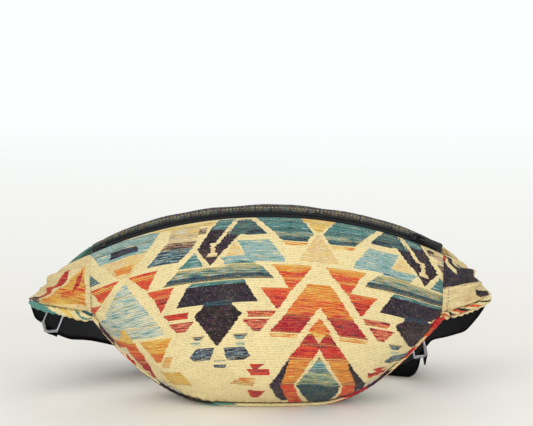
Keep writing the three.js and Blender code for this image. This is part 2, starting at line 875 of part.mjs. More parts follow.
function buckleFemale() {
  const back = buckleMouthSet - buckleLength;
  const boxBack = back + buckleBarDiameter + buckleSlot;
  const outline = new THREE.Shape();
  outline.moveTo(boxBack, -buckleHalf + 1);
  outline.lineTo(buckleMouthSet - 6, -buckleHalf);
  outline.quadraticCurveTo(buckleMouthSet, -buckleHalf, buckleMouthSet, -buckleHalf + 3);
  outline.quadraticCurveTo(buckleMouthSet - 5, 0, buckleMouthSet, buckleHalf - 3);
  outline.quadraticCurveTo(buckleMouthSet, buckleHalf, buckleMouthSet - 6, buckleHalf);
  outline.lineTo(boxBack, buckleHalf - 1);
  outline.closePath();
  const box = new THREE.ExtrudeGeometry(outline, {
    depth: buckleThickness - 2, bevelEnabled: true, bevelThickness: 1, bevelSize: 1, bevelOffset: -1,
    bevelSegments: 2, curveSegments: 6,
  }).translate(0, 0, 1);
  const cavity = block(
    buckleMouthSet - buckleMouthDepth, buckleMouthSet + 4,
    -buckleHalf + buckleWall, buckleHalf - buckleWall,
    buckleWall, buckleThickness - buckleWall,
  );
  const windows = [-1, 1].map((side) => block(
    -prongReach + 3, -prongReach + 15,
    side > 0 ? buckleHalf - buckleWall - 1 : -buckleHalf - 2,
    side > 0 ? buckleHalf + 2 : -buckleHalf + buckleWall + 1,
    buckleWall, buckleThickness - buckleWall,
  ));
  const shell = join(box, ...buckleArms(back, boxBack + 1), buckleBar(-femaleBarX));
  return cut(shell, cavity, ...windows).translate(0, buckleY, 0);
}

const maleBaseX = buckleMouthSet + layerGap;

function prong(side) {
  const outer = buckleHalf - buckleWall - runGap;
  const outline = new THREE.Shape();
  outline.moveTo(maleBaseX + 1, side * (outer - 2 - prongWidth));
  outline.lineTo(-prongReach + 8, side * (outer - 1 - prongWidth));
  outline.lineTo(-prongReach + 1, side * (outer - prongWidth));
  outline.quadraticCurveTo(-prongReach, side * (outer - 3), -prongReach + 4, side * (outer - 0.4));
  outline.lineTo(-prongReach + 10, side * outer);
  outline.lineTo(-prongReach + 12, side * (outer - 2.2));
  outline.lineTo(maleBaseX + 1, side * (outer - 2));
  outline.closePath();
  return extrude(outline, prongThickness).translate(0, 0, barHeight - prongThickness / 2);
}

function buckleMale() {
  const end = maleBaseX + malePlateLength;
  const base = block(
    maleBaseX, maleBaseX + 5, -buckleHalf, buckleHalf,
    buckleThickness * 0.08, buckleThickness * 0.92,
  );
  const guide = block(
    -prongReach + 4, maleBaseX + 1, -guideWidth / 2, guideWidth / 2,
    barHeight - prongThickness / 2, barHeight + prongThickness / 2,
  );
  return join(
    base, guide, prong(-1), prong(1), ...buckleArms(maleBaseX + 4, end), buckleBar(maleBarX),
  ).translate(0, buckleY, 0);
}

function named(name, geometry, look) {
  const mesh = new THREE.Mesh(geometry, new THREE.MeshStandardMaterial(look));
  mesh.name = name;
  return mesh;
}

const cloth = { color: 0xe2cf9c, roughness: 0.9, metalness: 0 };
const cottonLook = { color: 0x2b3a4a, roughness: 0.95, metalness: 0 };
const tapeLook = { color: 0x17171a, roughness: 0.85, metalness: 0 };
const toothLook = { color: 0x101013, roughness: 0.45, metalness: 0 };
const webbingLook = { color: 0x0f1013, roughness: 0.8, metalness: 0 };
const silver = { color: 0xc9ccd1, roughness: 0.28, metalness: 1 };
const plasticLook = { color: 0x121214, roughness: 0.5, metalness: 0 };
const darkMetal = { color: 0x1c1c20, roughness: 0.35, metalness: 0.8 };

const bag = new THREE.Group();
bag.add(named("front_panel", panel(frontSurface), cloth));
bag.add(named("back_panel", panel(backSurface), cloth));
bag.add(named("lining_front", lining(frontSurface, 8), cottonLook));
bag.add(named("lining_back", lining(backSurface, 10), cottonLook));
bag.add(named("zip_tape_front", zipTape(-1, frontSurface, frontRows), tapeLook));
bag.add(named("zip_tape_back", zipTape(1, backSurface, backRows), tapeLook));
bag.add(named("zip_teeth_front", toothRow(-1), toothLook));
bag.add(named("zip_teeth_back", toothRow(1), toothLook));
bag.add(named("zip_slider", onZip(sliderBody(), sliderX), darkMetal));
bag.add(named("zip_pull", onZip(pullTab().translate(pullBarX, 0, pullBarLift), sliderX), darkMetal));
bag.add(named("bottom_welt", roll(weltPath, weltRadius, 40), cloth));
bag.add(named("zip_stop_front", zipStop(topStopX, -1), darkMetal));
bag.add(named("zip_stop_back", zipStop(topStopX, 1), darkMetal));
bag.add(named("zip_stop_end", zipStop(bottomStopX, 0), darkMetal));
for (const [name, wing] of Object.entries(wings)) {
  bag.add(named(`hem_${name}`, roll(hemPath(wing), hemRadius, 12), cloth));
  bag.add(named(`wing_${name}_front`, wingLayer(wing, -1), cloth));
  bag.add(named(`wing_${name}_back`, wingLayer(wing, 1), cloth));
}

for (const [name, strap] of Object.entries(straps)) {
  bag.add(named(`strap_${name}`, strapBand(strap), webbingLook));
  bag.add(named(`glide_${name}`, glide(strap), silver));
}
bag.add(named("buckle_female", buckleFemale(), plasticLook));
bag.add(named("buckle_male", buckleMale(), plasticLook));

export default bag;
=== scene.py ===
"""The looks of a stuffed waist bag in patterned woven cloth, built around its fixed model."""

from __future__ import annotations

import json
import logging
import math
from dataclasses import dataclass
from enum import Enum
from typing import Sequence

import bmesh
import bpy
import numpy as np
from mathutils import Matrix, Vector

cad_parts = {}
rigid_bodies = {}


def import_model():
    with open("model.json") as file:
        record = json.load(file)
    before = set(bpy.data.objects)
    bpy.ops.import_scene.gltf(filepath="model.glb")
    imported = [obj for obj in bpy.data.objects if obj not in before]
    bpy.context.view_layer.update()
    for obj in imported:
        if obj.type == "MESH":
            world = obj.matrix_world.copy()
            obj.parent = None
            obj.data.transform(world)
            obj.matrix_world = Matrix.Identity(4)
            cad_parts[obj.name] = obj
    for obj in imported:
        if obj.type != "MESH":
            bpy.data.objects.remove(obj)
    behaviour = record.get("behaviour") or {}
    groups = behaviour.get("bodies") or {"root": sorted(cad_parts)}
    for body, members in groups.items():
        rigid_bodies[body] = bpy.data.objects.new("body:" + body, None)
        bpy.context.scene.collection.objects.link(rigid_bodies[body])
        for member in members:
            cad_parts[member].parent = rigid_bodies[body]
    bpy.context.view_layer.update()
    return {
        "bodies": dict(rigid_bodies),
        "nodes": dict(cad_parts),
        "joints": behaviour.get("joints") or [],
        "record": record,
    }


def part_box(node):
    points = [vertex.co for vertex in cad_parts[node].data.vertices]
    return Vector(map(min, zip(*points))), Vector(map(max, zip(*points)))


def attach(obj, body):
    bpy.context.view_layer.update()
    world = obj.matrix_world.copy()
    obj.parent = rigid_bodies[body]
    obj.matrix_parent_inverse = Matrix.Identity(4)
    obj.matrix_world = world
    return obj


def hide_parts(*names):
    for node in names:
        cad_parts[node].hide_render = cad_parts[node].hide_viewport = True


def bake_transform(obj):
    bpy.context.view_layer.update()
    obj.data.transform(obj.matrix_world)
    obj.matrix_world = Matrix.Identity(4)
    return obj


Pair = tuple[float, float]
Triple = tuple[float, float, float]
Shade = tuple[float, float, float, float]
Points = np.ndarray
Socket = bpy.types.NodeSocket
Material = bpy.types.Material
Piece = bpy.types.Object
log = logging.getLogger("waist_bag")
MM = 0.001


class Dye(Enum):
    """Thread colours of the cloth, as the photograph shows them, from 0 to 255."""

    CREAM = (242, 224, 166)
    SAND = (224, 186, 132)
    ORANGE = (222, 92, 44)
    RED = (206, 34, 44)
    WINE = (104, 24, 42)
    OCHRE = (224, 166, 66)
    YELLOW = (236, 202, 98)
    TEAL = (88, 148, 136)
    SEA = (44, 92, 98)
    NAVY = (30, 38, 68)
    BLUE = (172, 196, 196)
    DARK = (30, 25, 30)
    PLUM = (74, 40, 62)
    OLIVE = (112, 108, 66)
    BROWN = (98, 62, 48)

    def linear(self) -> Shade:
        """The colour as the shader takes it."""
        return linear_colour(self.value)


def linear_colour(shade: Sequence[float]) -> Shade:
    """Turns a screen colour into the shader's linear one.

    Args:
        shade: Red, green and blue from 0 to 255.

    Returns:
        Red, green, blue and alpha from 0 to 1.
    """
    parts = [c / 255 for c in shade]
    lines = [c / 12.92 if c <= 0.04045 else ((c + 0.055) / 1.055) ** 2.4 for c in parts]
    return (lines[0], lines[1], lines[2], 1.0)


@dataclass(frozen=True)
class PhotoEye:
    """The camera, where the photograph was taken from."""

    target: Triple = (-0.004, 0.020, 0.080)
    distance: float = 1.4
    elevation: float = math.radians(15)
    pixel: float = 0.00087
    spot: Pair = (262, 302)
    frame: Pair = (533, 426)
    sensor: float = 36.0

    def axes(self) -> tuple[Points, Points, Points]:
        """The directions to the right, up and ahead."""
        low, high = math.sin(self.elevation), math.cos(self.elevation)
        return np.array([1.0, 0, 0]), np.array([0, low, high]), np.array([0, high, -low])

    def place(self) -> Points:
        """Where the camera stands."""
        return np.array(self.target) - self.axes()[2] * self.distance

    def project(self, points: Points) -> Points:
        """Finds where points of the bag fall in the photograph.

        Args:
            points: Points in metres, in the last axis.

        Returns:
            Their columns and rows in pixels.
        """
        right, up, ahead = self.axes()
        away = points - self.place()
        focal = self.distance / self.pixel
        depth = away @ ahead
        column = self.spot[0] + focal * (away @ right) / depth
        row = self.spot[1] - focal * (away @ up) / depth
        return np.stack([column, row], -1)

    def make(self) -> None:
        """Makes the camera and sets it as the scene's."""
        data = bpy.data.cameras.new("photo_camera")
        camera = linked("photo_camera", data)
        data.sensor_width = self.sensor
        data.lens = self.distance / self.pixel * self.sensor / self.frame[0]
        data.shift_x = (self.frame[0] / 2 - self.spot[0]) / self.frame[0]
        data.shift_y = (self.spot[1] - self.frame[1] / 2) / self.frame[0]
        data.clip_end = 60
        camera.location = Vector(self.place())
        camera.rotation_euler = (math.pi / 2 - self.elevation, 0, 0)
        bpy.context.scene.camera = camera


def lerp(a: Points, b: Points, t: Points) -> Points:
    """Goes from a to b by the share t."""
    return a + (b - a) * t


def bezier(a: Points, b: Points, c: Points, d: Points, t: Points) -> Points:
    """A point on a cubic curve with ends a and d and handles b and c."""
    t = t[..., None]
    k = 1 - t
    return a * k**3 + 3 * b * k * k * t + 3 * c * k * t * t + d * t**3


def unit(vectors: Points) -> Points:
    """Vectors of length one, in the last axis."""
    return vectors / np.maximum(np.linalg.norm(vectors, axis=-1, keepdims=True), 1e-12)


def vector(x: Points, y: Points, z: Points) -> Points:
    """Points from three arrays of coordinates."""
    return np.stack(np.broadcast_arrays(x, y, z), -1)


@dataclass(frozen=True)
class WingEnd:
    """Where a wing's slanted end lies, in millimetres."""

    side: int
    tip: Triple
    end: Triple


@dataclass(frozen=True)
class BagForm:
    """The bag's surfaces, from the same sizes as its solids, in millimetres."""

    half_width: float = 151
    apex: Pair = (-8, 163)
    radius: float = 288
    tilt: float = math.radians(30)
    opening_half: float = 4.6
    front_bulge: float = 46
    back_bulge: float = 42
    end_depth_share: float = 0.26
    end_set_back: float = 13
    belly_half_flat: float = 45
    seam_rise: float = 68
    seam_rise_power: float = 1.85
    belly_seam: Pair = (-27, 3.9)
    belly_under: Pair = (1.5, 26)
    top_fold: Pair = (25, 7)
    gap: float = 0.35
    cloth: float = 1.6
    webbing: float = 1.4
    crown: float = 5
    left: WingEnd = WingEnd(-1, (-207, 38, 76), (-189, 72, 88))
    right: WingEnd = WingEnd(1, (196, 40, 80), (178, 74, 96))

    def zip_axes(self) -> tuple[Points, Points]:
        """The directions out of the zip and across it, at its middle."""
        low, high = math.sin(self.tilt), math.cos(self.tilt)
        return np.array([0, -low, high]), np.array([0, high, low])

    def zip_point(self, angle: Points, across: float, lift: float) -> Points:
        """A point near the zip, by its angle on the arc, and how far across and above it lies."""
        outward, side = self.zip_axes()
        centre = np.array([0, *self.apex]) - outward * self.radius
        reach = self.radius + lift
        up = outward * (reach * np.cos(angle))[..., None]
        return centre + up + side * across + vector(reach * np.sin(angle), 0, 0)

    def share(self, x: Points) -> Points:
        """How far out x is, from 0 in the middle to 1 at the wings."""
        return np.minimum(1, np.abs(x) / self.half_width)

    def fullness(self, x: Points) -> Points:
        """How full the bag is at x, from 1 in the middle."""
        return np.sqrt(1 - (1 - self.end_depth_share**2) * self.share(x) ** 2)

    def floor_line(self, x: Points) -> Points:
        """Height of the bag's lowest line at x."""
        flat = self.belly_half_flat
        out = np.maximum(0, np.abs(x) - flat) / (self.half_width - flat)
        return self.seam_rise * out**self.seam_rise_power

    def top_edge(self, x: Points, side: int) -> Points:
        """The panel's edge beside the zip."""
        angle = np.arcsin(x / self.radius)
        edge = self.zip_point(angle, side * self.opening_half, self.gap + self.cloth)
        edge[..., 0] = x
        return edge

    def bottom_seam(self, x: Points, side: int) -> Points:
        """The panel's edge at the bottom seam."""
        y = lerp(self.belly_seam[0], self.end_set_back, self.share(x) ** 2)
        return vector(x, y + side * self.gap, self.floor_line(x) + self.belly_seam[1])

    def front(self, x: Points, v: Points) -> Points:
        """The front panel's outer face, from the zip at v = 0 to the seam at v = 1."""
        full = self.fullness(x)[..., None]
        top, seam = self.top_edge(x, -1), self.bottom_seam(x, -1)
        leave = top - self.zip_axes()[1] * (6 + self.front_bulge * full)
        arrive = seam + np.array([0, -0.92, 0.36]) * (4 + self.front_bulge * full)
        return bezier(top, leave, arrive, seam, v)

    def back(self, x: Points, v: Points) -> Points:
        """The back panel's outer face, from the zip at v = 0 to the seam at v = 1."""
        full = self.fullness(x)
        top, seam = self.top_edge(x, 1), self.bottom_seam(x, 1)
        set_back = self.end_set_back * self.share(x) ** 2
        middle = vector(x, set_back + self.back_bulge * full, lerp(seam[..., 2], top[..., 2], 0.52))
        rise, fall = top[..., 2] - middle[..., 2], middle[..., 2] - seam[..., 2]
        fold = vector(0, self.top_fold[0] * full, self.top_fold[1] * full)
        upper = bezier(top, top + fold, middle + vector(0, 2, rise * 0.72), middle, np.clip(v * 2, 0, 1))
        reach, drop = self.belly_under
        under = vector(x, seam[..., 1] + self.back_bulge * full * reach, seam[..., 2] - drop * full)
        leave = middle + vector(0, -2, -fall * 0.62)
        lower = bezier(middle, leave, under, seam, np.clip(v * 2 - 1, 0, 1))
        lower[..., 2] = np.maximum(lower[..., 2], self.floor_line(x))
        return np.where((v < 0.5)[..., None], upper, lower)

    def wing_edge(self, wing: WingEnd, v: Points) -> Points:
        """A point on the wing's slanted end, from its upper corner to its lower one."""
        return lerp(np.array(wing.end, float), np.array(wing.tip, float), v[..., None])

    def wing_out(self, wing: WingEnd) -> Points:
        """The direction out of the wing's thickness at its end."""
        edge = unit(np.array(wing.tip, float) - np.array(wing.end, float))
        heading = np.array([wing.side * 0.86, 0.12, -0.5])
        return unit(np.cross(heading, edge) * -wing.side)

    def wing(self, wing: WingEnd, face: int, u: Points, v: Points) -> Points:
        """A wing layer's outer face, from the bag at u = 0 to the strap at u = 1."""
        surface = self.front if face < 0 else self.back
        start = surface(np.full_like(v, wing.side * self.half_width), v)
        start[..., 0] = wing.side * (self.half_width + self.gap)
        out = self.wing_out(wing)
        lift = (self.webbing + 2 * self.gap) / 2 + self.cloth
        end = self.wing_edge(wing, v) - out * face * lift
        reach = np.linalg.norm(end - start, axis=-1)
        puff = out * -face * (self.crown * 4 * v * (1 - v))[..., None]
        leave = lerp(start, end, 0.3) + puff + vector(wing.side * reach * 0.08, 0, 0)
        arrive = lerp(start, end, 0.75) + puff + vector(wing.side * reach * 0.1, -reach * 0.1, 0)
        return bezier(start, leave, arrive, end, u)


FORM = BagForm()
EYE = PhotoEye()
# A point inside the bag, in metres
BAG_MIDDLE = (0, 0, 0.085)


def grid_faces(points: Points, normals: Points) -> Points:
    """The corner numbers of a grid's four-sided faces, turned to the side of its normals."""
    rows, columns = points.shape[:2]
    first = np.arange((rows - 1) * columns).reshape(rows - 1, columns)[:, :-1].ravel()
    faces = np.stack([first, first + columns, first + columns + 1, first + 1], 1)
    facing = np.cross(np.gradient(points, axis=0), np.gradient(points, axis=1))
    return faces[:, ::-1] if np.sum(facing * normals) < 0 else faces


def outward_normals(points: Points, middle: Points) -> Points:
    """Normals of a grid of points, on the side away from middle."""
    down, along = np.gradient(points, axis=0), np.gradient(points, axis=1)
    normals = unit(np.cross(down, along))
    away = np.sum(normals * (points - middle), -1)
    return normals * (1.0 if away.sum() > 0 else -1.0)


def lengths_down(points: Points) -> Points:
    """Distance along each column of a grid, from its first row."""
    steps = np.linalg.norm(np.diff(points, axis=0), axis=-1)
    return np.concatenate([np.zeros((1, points.shape[1])), np.cumsum(steps, 0)])


def reach_along(points: Points) -> Points:
    """Distance along a line of points, from its first one."""
    return np.concatenate([[0.0], np.cumsum(np.linalg.norm(np.diff(points, axis=0), axis=1))])


def tube_faces(rings: int, count: int) -> list[tuple[int, ...]]:
    """The corner numbers of a closed tube's faces, with an end face at each end."""
    faces: list[tuple[int, ...]] = []
    for start in range(0, (rings - 1) * count, count):
        for k in range(count):
            following = (k + 1) % count
            faces.append((start + k, start + count + k, start + count + following, start + following))
    last = range((rings - 1) * count, rings * count)
    return [*faces, tuple(range(count)), tuple(last)[::-1]]


def linked(name: str, data: bpy.types.ID) -> Piece:
    """Makes an object of some data and puts it in the scene."""
    item = bpy.data.objects.new(name, data)
    bpy.context.scene.collection.objects.link(item)
    return item


def new_piece(name: str, points: Points, faces: Sequence[Sequence[int]]) -> Piece:
    """Makes a mesh object from points in metres, with smooth faces."""
    mesh = bpy.data.meshes.new(name)
    mesh.from_pydata(points.reshape(-1, 3).tolist(), [], [list(map(int, f)) for f in faces])
    mesh.polygons.foreach_set("use_smooth", [True] * len(mesh.polygons))
    return linked(name, mesh)


def write_uv(piece: Piece, name: str, places: Points) -> None:
    """Writes a UV map from one place for each vertex."""
    layer = piece.data.uv_layers.new(name=name)
    corners = np.zeros(len(piece.data.loops), int)
    piece.data.loops.foreach_get("vertex_index", corners)
    layer.data.foreach_set("uv", places.reshape(-1, 2)[corners].ravel().astype(np.float32))


def apply_modifiers(piece: Piece) -> None:
    """Turns a piece with modifiers into a plain mesh."""
    graph = bpy.context.evaluated_depsgraph_get()
    mesh = bpy.data.meshes.new_from_object(piece.evaluated_get(graph), depsgraph=graph)
    piece.modifiers.clear()
    piece.data = mesh
    mesh.name = piece.name


def sheet_piece(
    name: str, points: Points, uv: Points, thickness: float, middle: Points
) -> Piece:
    """Makes a sheet with thickness from a grid of points on its outer face.

    Args:
        name: The piece's name.
        points: Rows and columns of points in metres.
        uv: The place of each point in the cloth, in metres.
        thickness: How thick the sheet is, inwards.
        middle: A point inside, which the sheet faces away from.

    Returns:
        The closed sheet.
    """
    piece = new_piece(name, points, grid_faces(points, outward_normals(points, middle)))
    write_uv(piece, "cloth", uv)
    wall = piece.modifiers.new("wall", "SOLIDIFY")
    wall.thickness = thickness
    wall.offset = -1
    wall.use_even_offset = False
    apply_modifiers(piece)
    return piece


class Value:
    """A number in a shader, which is used in sums as any number is."""

    def __init__(self, tree: bpy.types.NodeTree, socket: Socket) -> None:
        """Holds a socket of a tree."""
        self.tree = tree
        self.socket = socket

    def step(self, operation: str, *others: "Value | float") -> "Value":
        """Adds one maths node, whose first input is this value.

        Args:
            operation: The node's operation.
            others: Its other inputs.

        Returns:
            The result.
        """
        node = self.tree.nodes.new("ShaderNodeMath")
        node.operation = operation
        for place, item in enumerate((self, *others)):
            if isinstance(item, Value):
                self.tree.links.new(item.socket, node.inputs[place])
            else:
                node.inputs[place].default_value = float(item)
        return Value(self.tree, node.outputs[0])

    def __add__(self, other: "Value | float") -> "Value":
        """The sum."""
        return self.step("ADD", other)

    def __sub__(self, other: "Value | float") -> "Value":
        """The difference."""
        return self.step("SUBTRACT", other)

    def __mul__(self, other: "Value | float") -> "Value":
        """The product."""
        return self.step("MULTIPLY", other)

    def __lt__(self, other: "Value | float") -> "Value":
        """1 where this is less."""
        return self.step("LESS_THAN", other)

    def __gt__(self, other: "Value | float") -> "Value":
        """1 where this is more."""
        return self.step("GREATER_THAN", other)

    def scaled(self, scale: float, shift: float) -> "Value":
        """This, times scale, plus shift."""
        return self.step("MULTIPLY_ADD", scale, shift)

    def snapped(self, pitch: float) -> "Value":
        """This, moved to the middle of its step."""
        return self.step("DIVIDE", pitch).step("FLOOR").scaled(pitch, pitch / 2)

    def wrapped(self, low: float, high: float) -> "Value":
        """This, repeated between low and high."""
        return self.step("WRAP", high, low)

    def size(self) -> "Value":
        """This without its sign."""
        return self.step("ABSOLUTE")

    def within(self, low: float, high: float) -> "Value":
        """1 between low and high."""
        return self.step("COMPARE", (low + high) / 2, abs(high - low) / 2)

    def wave(self, length: float, shift: float = 0.0) -> "Value":
        """A wave from 0 to 1 with that length."""
        turn = 2 * math.pi / length
        return self.scaled(turn, shift).step("SINE").scaled(0.5, 0.5)


class Surface:
    """A material being built, with its shader and its own coordinates."""

    def __init__(self, name: str, roughness: float, metallic: float = 0.0) -> None:
        """Makes the material with a plain shader."""
        self.material = bpy.data.materials.new(name)
        self.material.use_nodes = True
        self.tree = self.material.node_tree
        self.shader = self.tree.nodes["Principled BSDF"]
        self.shader.inputs["Roughness"].default_value = roughness
        self.shader.inputs["Metallic"].default_value = metallic

    def setting(self, name: str, value: float) -> None:
        """Sets one of the shader's own numbers."""
        self.shader.inputs[name].default_value = value

    def vector_parts(self, socket: Socket) -> tuple[Value, Value, Value]:
        """The three parts of a vector."""
        node = self.tree.nodes.new("ShaderNodeSeparateXYZ")
        self.tree.links.new(socket, node.inputs[0])
        return tuple(Value(self.tree, out) for out in node.outputs)

    def cloth_place(self, uv_map: str = "cloth") -> tuple[Value, Value]:
        """The place in the cloth, in millimetres."""
        node = self.tree.nodes.new("ShaderNodeUVMap")
        node.uv_map = uv_map
        u, v, _ = self.vector_parts(node.outputs[0])
        return u * 1000, v * 1000

    def object_place(self) -> Socket:
        """The place in the object, in metres."""
        return self.tree.nodes.new("ShaderNodeTexCoord").outputs["Object"]

    def joined(self, x: Value, y: Value) -> Socket:
        """A vector from two numbers."""
        node = self.tree.nodes.new("ShaderNodeCombineXYZ")
        self.tree.links.new(x.socket, node.inputs[0])
        self.tree.links.new(y.socket, node.inputs[1])
        return node.outputs[0]

    def noise(self, place: Socket, scale: float, detail: float = 2.0) -> Value:
        """Soft noise around 0.5."""
        node = self.tree.nodes.new("ShaderNodeTexNoise")
        self.tree.links.new(place, node.inputs["Vector"])
        node.inputs["Scale"].default_value = scale
        node.inputs["Detail"].default_value = detail
        return Value(self.tree, node.outputs["Fac"])

    def chance(self, number: Value) -> Value:
        """A random number from 0 to 1 for each whole number."""
        node = self.tree.nodes.new("ShaderNodeTexWhiteNoise")
        node.noise_dimensions = "1D"
        self.tree.links.new(number.socket, node.inputs["W"])
        return Value(self.tree, node.outputs["Value"])

    def mixed(
        self,
        share: Value,
        first: "Socket | Sequence[float]",
        second: "Socket | Sequence[float]",
    ) -> Socket:
        """Mixes two colours.

        Args:
            share: How much of the second there is.
            first: The first colour, or its socket.
            second: The second colour, or its socket.

        Returns:
            The mixed colour's socket.
        """
        node = self.tree.nodes.new("ShaderNodeMix")
        node.data_type = "RGBA"
        self.tree.links.new(share.socket, node.inputs[0])
        for place, colour in ((6, first), (7, second)):
            if isinstance(colour, Socket):
                self.tree.links.new(colour, node.inputs[place])
            else:
                node.inputs[place].default_value = tuple(colour)
        return node.outputs[2]

    def bands(self, place: Value, stops: Sequence[tuple[float, Dye]]) -> Socket:
        """Bands of plain colour along a number from 0 to 1."""
        node = self.tree.nodes.new("ShaderNodeValToRGB")
        ramp = node.color_ramp
        ramp.interpolation = "CONSTANT"
        while len(ramp.elements) < len(stops):
            ramp.elements.new(0.5)
        for element, (position, colour) in zip(ramp.elements, stops):
            element.position = position
            element.color = colour.linear()
        self.tree.links.new(place.socket, node.inputs[0])
        return node.outputs[0]

    def painted(self, colour: "Socket | Sequence[float]") -> None:
        """Gives the shader its colour."""
        if isinstance(colour, Socket):
            self.tree.links.new(colour, self.shader.inputs["Base Color"])
        else:
            self.shader.inputs["Base Color"].default_value = tuple(colour)

    def raised(self, height: Value, distance: float, strength: float = 1.0) -> None:
        """Raises the surface by a height from 0 to 1, times distance."""
        node = self.tree.nodes.new("ShaderNodeBump")
        node.inputs["Strength"].default_value = strength
        node.inputs["Distance"].default_value = distance
        self.tree.links.new(height.socket, node.inputs["Height"])
        self.tree.links.new(node.outputs[0], self.shader.inputs["Normal"])


class Axis(Enum):
    """Upright lines about which the pattern is mirrored, by column in the photograph."""

    FLAME = 123.7
    CHEVRON = 319.0


# The darker and the lighter dye whose threads run through each dye's fields
COMPANY: dict[Dye, tuple[Dye, Dye]] = {
    Dye.CREAM: (Dye.SAND, Dye.CREAM),
    Dye.SAND: (Dye.YELLOW, Dye.CREAM),
    Dye.YELLOW: (Dye.OCHRE, Dye.CREAM),
    Dye.OCHRE: (Dye.ORANGE, Dye.YELLOW),
    Dye.ORANGE: (Dye.RED, Dye.OCHRE),
    Dye.RED: (Dye.WINE, Dye.ORANGE),
    Dye.WINE: (Dye.PLUM, Dye.RED),
    Dye.PLUM: (Dye.DARK, Dye.SAND),
    Dye.TEAL: (Dye.SEA, Dye.BLUE),
    Dye.SEA: (Dye.NAVY, Dye.OLIVE),
    Dye.NAVY: (Dye.DARK, Dye.SEA),
    Dye.DARK: (Dye.DARK, Dye.PLUM),
    Dye.BLUE: (Dye.TEAL, Dye.CREAM),
    Dye.OLIVE: (Dye.SEA, Dye.OCHRE),
    Dye.BROWN: (Dye.DARK, Dye.OCHRE),
}
# A field's own dye, and the one that runs through it most
Blend = tuple[Dye, "Dye | None"]
# Where the noise of the streaks goes from one dye to the next
STREAK_STEPS = (0.0, 0.425, 0.5, 0.525, 0.575, 0.615)


def streaked(surface: Surface, streak: Value, blends: Sequence[Blend]) -> dict[Blend, Socket]:
    """Each field's colour, with threads of other dyes running through it.

    Args:
        surface: The material.
        streak: Long soft noise around 0.5.
        blends: The field's own dye and the one that runs through it most.

    Returns:
        The colours.
    """
    found = {}
    for dye, second in sorted(set(blends), key=str):
        low, high = COMPANY[dye]
        run = (low, dye, second or dye, dye, second or high, high)
        found[dye, second] = surface.bands(streak, tuple(zip(STREAK_STEPS, run)))
    return found


@dataclass(frozen=True)
class Patch:
    """A field of colour with straight sides, in the photograph's pixels.

    The left and right sides go from the first row to the second. Threads of the second
    dye run through it.
    """

    dye: Dye
    rows: Pair
    left: Pair
    right: Pair
    second: Dye | None = None


